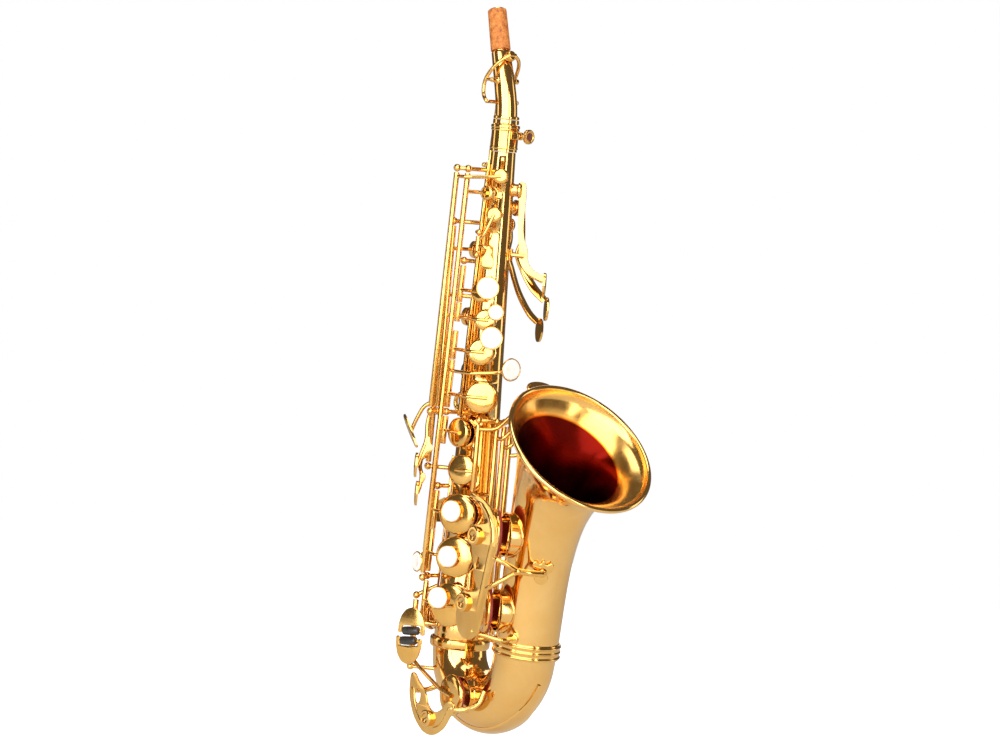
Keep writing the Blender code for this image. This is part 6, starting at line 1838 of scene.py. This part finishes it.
def guards():
    # the long curved guard over the two bell keys
    r_face = 41.0
    outline = guard_outline()
    m = frame(at(0, r_face, 0), at(1, 0, 0), Vector((0, 0, 1)), at(0, 1, 0))
    holes = [guard_eye()] + [loop_of(f, z, 3.4) for f, z in WELLS]
    pieces = [flat(outline, 1.3, m, smooth=True, holes=holes),
              pressed_rib(arc(HOOK, HOOK_RADIUS - 3.2, 82, 0, 7, HOOK_RADIUS - 5.2)
                      + [(guard_side(z) - 5.2, z) for z in (68, 60, 52, 44, 37, 30)],
                      r_face + 0.62, 3.4, 0.9)]
    c, r = bell_at(62.0)
    (c0, r0), (c1, r1) = bell_at(60.0), bell_at(64.0)
    along = (c1 - c0).normalized()
    n0 = out(30)
    n0 = (n0 - along * n0.dot(along)).normalized()
    edge = ((c1 + n0 * r1) - (c0 + n0 * r0)).normalized()
    side_way_ = edge.cross(n0).normalized()
    face = side_way_.cross(edge).normalized()
    face = face if face.dot(n0) > 0 else -face
    spot = c + n0 * (r + 1.35)
    shield = [(0, 7.4), (2.0, 5.2), (5.4, 6.4), (6.2, 1.8), (3.6, -0.6), (4.2, -4.4), (0, -7.6),
              (-4.2, -4.4), (-3.6, -0.6), (-6.2, 1.8), (-5.4, 6.4), (-2.0, 5.2)]
    pieces.append(flat(shield, 1.5, frame(spot, side_way_, edge, side_way_.cross(edge)), smooth=True,
                       ease=0.55))
    join = at(89.4, 28.0, 60.0)
    upper = [at(81.6, r_face - 0.2, 66.8), at(85.0, 40.2, 66.3), at(87.7, 35.0, 63.6), join]
    lower = [at(77.2, r_face - 0.2, 47.6), at(82.0, 40.4, 50.6), at(86.6, 35.4, 55.2), join]
    arm = [join + at(-0.6, 3.2, -0.1), join, join * 0.5 + (spot + face * 5.0) * 0.5,
           spot + face * 3.0, spot + face * 0.2]
    for knots, size in ((upper, 1.55), (lower, 1.55), (arm, 1.85)):
        eased_path = [eased(knots, t / 6) for t in range(6 * (len(knots) - 1) + 1)]
        pieces.append(wire(eased_path, size, 8))
    pieces.append(ball(join, 2.3))
    pieces.append(lathe([(0, 2.2), (1.9, 2.0), (2.5, 1.4), (3.2, 0.0), (3.2, -0.8), (0, -0.8)],
                        spot + face * 0.4, face, 40))
    for f, z in WELLS:
        pieces.append(bumper_cup(f, r_face, z, 3.2, 5.9))
        bumper_screw(f, r_face, z, 3.1)
    c, r = bell_at(17.0)
    foot = c + out(64) * (r + 0.9)
    leg = [at(66, r_face, 20.0), foot + out(80) * 13, foot + out(64) * 6, foot]
    pieces.append(wire([eased(leg, t / 6) for t in range(19)], 1.5, 8))
    pieces.append(lathe([(0, 1.0), (2.9, 0.9), (3.4, 0.3), (3.4, -0.9), (0, -0.9)], foot, out(64), 40))
    finish("bell_key_guard", pieces, "brass")
    for name, f, z in (("guard_felt_bb", *WELLS[0]), ("guard_felt_b", *WELLS[1])):
        finish(name, [lathe([(0, 2.2), (2.75, 2.15), (3.05, 1.8), (3.05, -2.2), (2.75, -2.6), (0, -2.6)],
                            at(f, r_face, z), at(0, 1, 0), 40)], "felt")
    # the guard of the low C key
    r_face = 37.5
    outline = [(3, -23), (6, -36), (14, -46), (26, -51), (38, -47), (46, -38), (50, -28), (44, -27),
               (38, -33), (30, -36), (24, -33), (20, -26), (12, -20), (5, -16)]
    m = frame(at(0, r_face, 0), at(1, 0, 0), Vector((0, 0, 1)), at(0, 1, 0))
    pieces = [flat(outline, 1.3, m, smooth=True,
                   holes=[[(9, -27), (12, -34), (15, -31), (13, -25)], loop_of(25.0, -41.0, 3.3)]),
              pressed_rib([(7.4, -25), (9.4, -34), (15.6, -42.4), (20, -45.6)], r_face + 0.62, 2.2, 0.5),
              pressed_rib([(31, -46.4), (37.5, -43.6), (42.6, -37.5), (46, -30.5)], r_face + 0.62, 2.2, 0.5),
              bumper_cup(25.0, r_face, -41.0, 3.1, 5.2)]
    for leg in ([at(47.5, r_face, -31.0), at(53, 33, -31), at(56.0, 24, -27.0), at(56.5, 20.4, -19.0)],
                [at(7, r_face, -25.0), at(4.0, 33.0, -27.5), at(5.0, 25.0, -27.0), at(7.0, 18.9, -24.5)]):
        pieces.append(wire([eased(leg, t / 6) for t in range(19)], 1.65, 8))
    bumper_screw(25.0, r_face, -41.0, 3.0)
    finish("low_c_guard", pieces, "brass")
    finish("guard_felt_c", [lathe([(0, 2.0), (2.65, 1.95), (2.95, 1.6), (2.95, -2.0), (2.65, -2.4), (0, -2.4)],
                                  at(25.0, r_face, -41.0), at(0, 1, 0), 40)], "felt")


def bell_brace():
    c, r = bell_at(60.0)
    n = out(180 + 8)
    body_side = pol(-65, rb(60) + 1.9, 60.0)
    target = at(-c.y - math.sqrt((r + 1.6) ** 2 - 12.0 ** 2), -12.0, 60.0)
    mid = (body_side + target) / 2
    pieces = [rod(body_side, at(24.0, -14.5, 60.0), 1.8, 8),
              wire([mid + at(8.5 * math.cos(a), 0, 8.5 * math.sin(a)) + at(0, -1.6, 0)
                    for a in (2 * math.pi * i / 12 for i in range(12))], 1.7, 6, cyclic=True),
              rod(at(39.0, -14.0, 60.0), target, 1.8, 8)]
    finish("bell_brace", pieces, "brass")


def back_fittings():
    # strap ring: an eye standing on a foot plate
    z = 150.0
    foot = box(at(-(rb(z) + 1.15), 0, z), at(0, 1, 0), at(-1, 0, 0), Vector((0, 0, 1)), (7.0, 1.4, 15.0))
    centre = STRAP_EYE
    eye = wire([centre + at(5.4 * math.cos(a), 0, 5.4 * math.sin(a))
                for a in (2 * math.pi * i / 14 for i in range(14))], 1.45, 8, cyclic=True)
    finish("strap_ring", [foot, eye, rod(at(-(rb(z) + 1.2), 0, z), at(-(rb(z) + 3.2), 0, z), 2.6, 10)],
           "brass")
    # thumb hook
    z = 82.0
    x, n = at(0, 1, 0), at(-1, 0, 0)
    base = box(at(-(rb(z) + 1.2), 0, z), x, n, Vector((0, 0, 1)), (10.0, 1.5, 18.0))
    profile = [at(-(rb(z) + 1.2), 0, z + 6), at(-(rb(z) + 8), 0, z + 7.0), at(-(rb(z) + 15), 0, z + 4.0),
               at(-(rb(z) + 18), 0, z - 3.0), at(-(rb(z) + 17), 0, z - 9.0)]
    sections = []
    for i, p in enumerate(profile):
        d = (profile[min(i + 1, 4)] - profile[max(i - 1, 0)]).normalized()
        up = d.cross(x).normalized()
        w = 5.0 if i < 4 else 3.6
        sections.append([p + x * w + up * 0.9, p - x * w + up * 0.9, p - x * w - up * 0.9,
                         p + x * w - up * 0.9])
    finish("thumb_hook", [base, sweep(sections)], "brass")
    # left thumb rest
    z = 171.0
    rest = turned([(0, 4.6), (5.2, 4.4), (6.4, 3.2), (6.4, 2.2), (4.0, 1.6), (4.0, 0.0), (0, 0)],
                  at(-(rb(z) + 0.8), 0, z), at(-1, 0, 0), 18)
    finish("thumb_rest", [rest], "black")


body_tube()
bow()
bell()
receiver()
neck()
band("body_bow_ring", at(0, 0, 1.7), Vector((0, 0, 1)), 17.25, 18.9, 3.2)
centre, direction = bell_point(0.02)
band("bell_bow_ring", centre, direction, 19.65, 21.2, 5.0, beads=True)
right_posts()
front_posts()
palm_posts()
stack_keys()
side_keys()
palm_keys()
left_hand_keys()
little_finger_keys()
octave_keys()
guards()
bell_brace()
back_fittings()


# ------------------------------------------------------------ lights, camera
def soft_panel(name, place, target, width, height, power, colour=(1.0, 1.0, 1.0)):
    light = bpy.data.lights.new(name, "AREA")
    light.shape = "RECTANGLE"
    light.size, light.size_y = width, height
    light.energy = power
    light.color = colour
    obj = bpy.data.objects.new(name, light)
    bpy.context.scene.collection.objects.link(obj)
    obj.location = place
    obj.rotation_euler = (Vector(target) - Vector(place)).to_track_quat("-Z", "Y").to_euler()
    return obj


# the camera stands where the instrument fills the frame as wanted
V = Vector((-0.6004, -0.7967, 0.0698)).normalized()
side_way = Vector((0.7986, -0.6018, 0.0)).normalized()
up_way = V.cross(side_way).normalized()
roll = math.radians(5.1)
cam_r = side_way * math.cos(roll) + up_way * math.sin(roll)
cam_u = up_way * math.cos(roll) - side_way * math.sin(roll)
camera_data = bpy.data.cameras.new("camera")
camera_data.sensor_width = 36.0
camera_data.lens = 127.74
camera_data.clip_start, camera_data.clip_end = 0.05, 50.0
camera = bpy.data.objects.new("camera", camera_data)
bpy.context.scene.collection.objects.link(camera)
camera.matrix_world = Matrix.Translation(Vector((-1.3191, -1.7887, 0.1750))) @ \
    Matrix((cam_r, cam_u, V)).transposed().to_4x4()
bpy.context.scene.camera = camera

# a plain pale floor under a pale sky
away = Vector((-V.x, -V.y, 0)).normalized()
across = Vector((-away.y, away.x, 0))
right_of = across if across.dot(cam_r) > 0 else -across
FLOOR_Z = CAD_LOW.z - 0.10
bm = bmesh.new()
centre_v = bm.verts.new((0, 0, FLOOR_Z))
edge_v = [bm.verts.new((1.7 * math.cos(2 * math.pi * i / 96), 1.7 * math.sin(2 * math.pi * i / 96), FLOOR_Z))
          for i in range(96)]
for a, b in zip(edge_v, edge_v[1:] + edge_v[:1]):
    bm.faces.new((centre_v, a, b))
floor = put(bm, None, "floor")
floor.name = "floor"
made, tree, shader = nodes_of("floor_paint")
mottle = noise(tree, 3.0, 3.0, 0.5)
paint = ramp(tree, mottle.outputs["Fac"], [(0.3, (0.86, 0.86, 0.86)), (0.7, (0.90, 0.90, 0.90))])
tree.links.new(paint.outputs["Color"], shader.inputs["Base Color"])
shader.inputs["Roughness"].default_value = 0.9
shader.inputs["Specular IOR Level"].default_value = 0.1
shader.inputs["Emission Color"].default_value = (1.0, 1.0, 1.0, 1.0)
seen = tree.nodes.new("ShaderNodeLightPath")
tree.links.new(seen.outputs["Is Camera Ray"], shader.inputs["Emission Strength"])
floor.data.materials.append(made)

# the room is dim and warm for the metal, and pale where it is seen directly
world = bpy.data.worlds.new("studio")
world.use_nodes = True
sky = world.node_tree
room = sky.nodes["Background"]
room.inputs["Color"].default_value = (1.0, 0.80, 0.60, 1.0)
room.inputs["Strength"].default_value = 0.13
pale = sky.nodes.new("ShaderNodeBackground")
pale.inputs["Color"].default_value = (1.0, 1.0, 1.0, 1.0)
pale.inputs["Strength"].default_value = 1.0
seen = sky.nodes.new("ShaderNodeLightPath")
both = sky.nodes.new("ShaderNodeMixShader")
sky.links.new(seen.outputs["Is Camera Ray"], both.inputs[0])
sky.links.new(room.outputs[0], both.inputs[1])
sky.links.new(pale.outputs[0], both.inputs[2])
sky.links.new(both.outputs[0], sky.nodes["World Output"].inputs["Surface"])
bpy.context.scene.world = world
bpy.context.scene.view_settings.view_transform = "Standard"

mid = Vector((0, -0.04, 0.02))
near = -away


def panel(name, swing, height, distance, width, tall, glow, colour=(1.0, 1.0, 1.0)):
    """A soft box by its swing to the right of the camera in degrees, with the brightness it shows."""
    a = math.radians(swing)
    place = mid + (near * math.cos(a) + right_of * math.sin(a)) * distance + Vector((0, 0, height))
    soft_panel(name, place, mid, width, tall, glow * math.pi * width * tall, colour)


panel("front_wall", -6, 0.9, 3.3, 3.6, 3.0, 4.2, (1.0, 0.96, 0.90))
panel("strip_left", -42, 0.25, 2.2, 0.42, 2.2, 5.5, (1.0, 0.98, 0.94))
panel("strip_right", 38, 0.35, 2.2, 0.34, 2.0, 5.0, (1.0, 0.98, 0.94))
panel("far_left", -100, 0.2, 2.0, 0.5, 1.8, 1.6, (1.0, 0.93, 0.84))
panel("far_right", 104, 0.2, 2.0, 0.5, 1.8, 1.6, (1.0, 0.93, 0.84))
panel("behind", 176, 0.7, 2.6, 1.2, 1.0, 1.4, (1.0, 0.96, 0.90))
soft_panel("ceiling", mid + Vector((0, 0, 1.7)) + near * 0.5, mid, 1.3, 1.1, 3.0 * math.pi * 1.43)
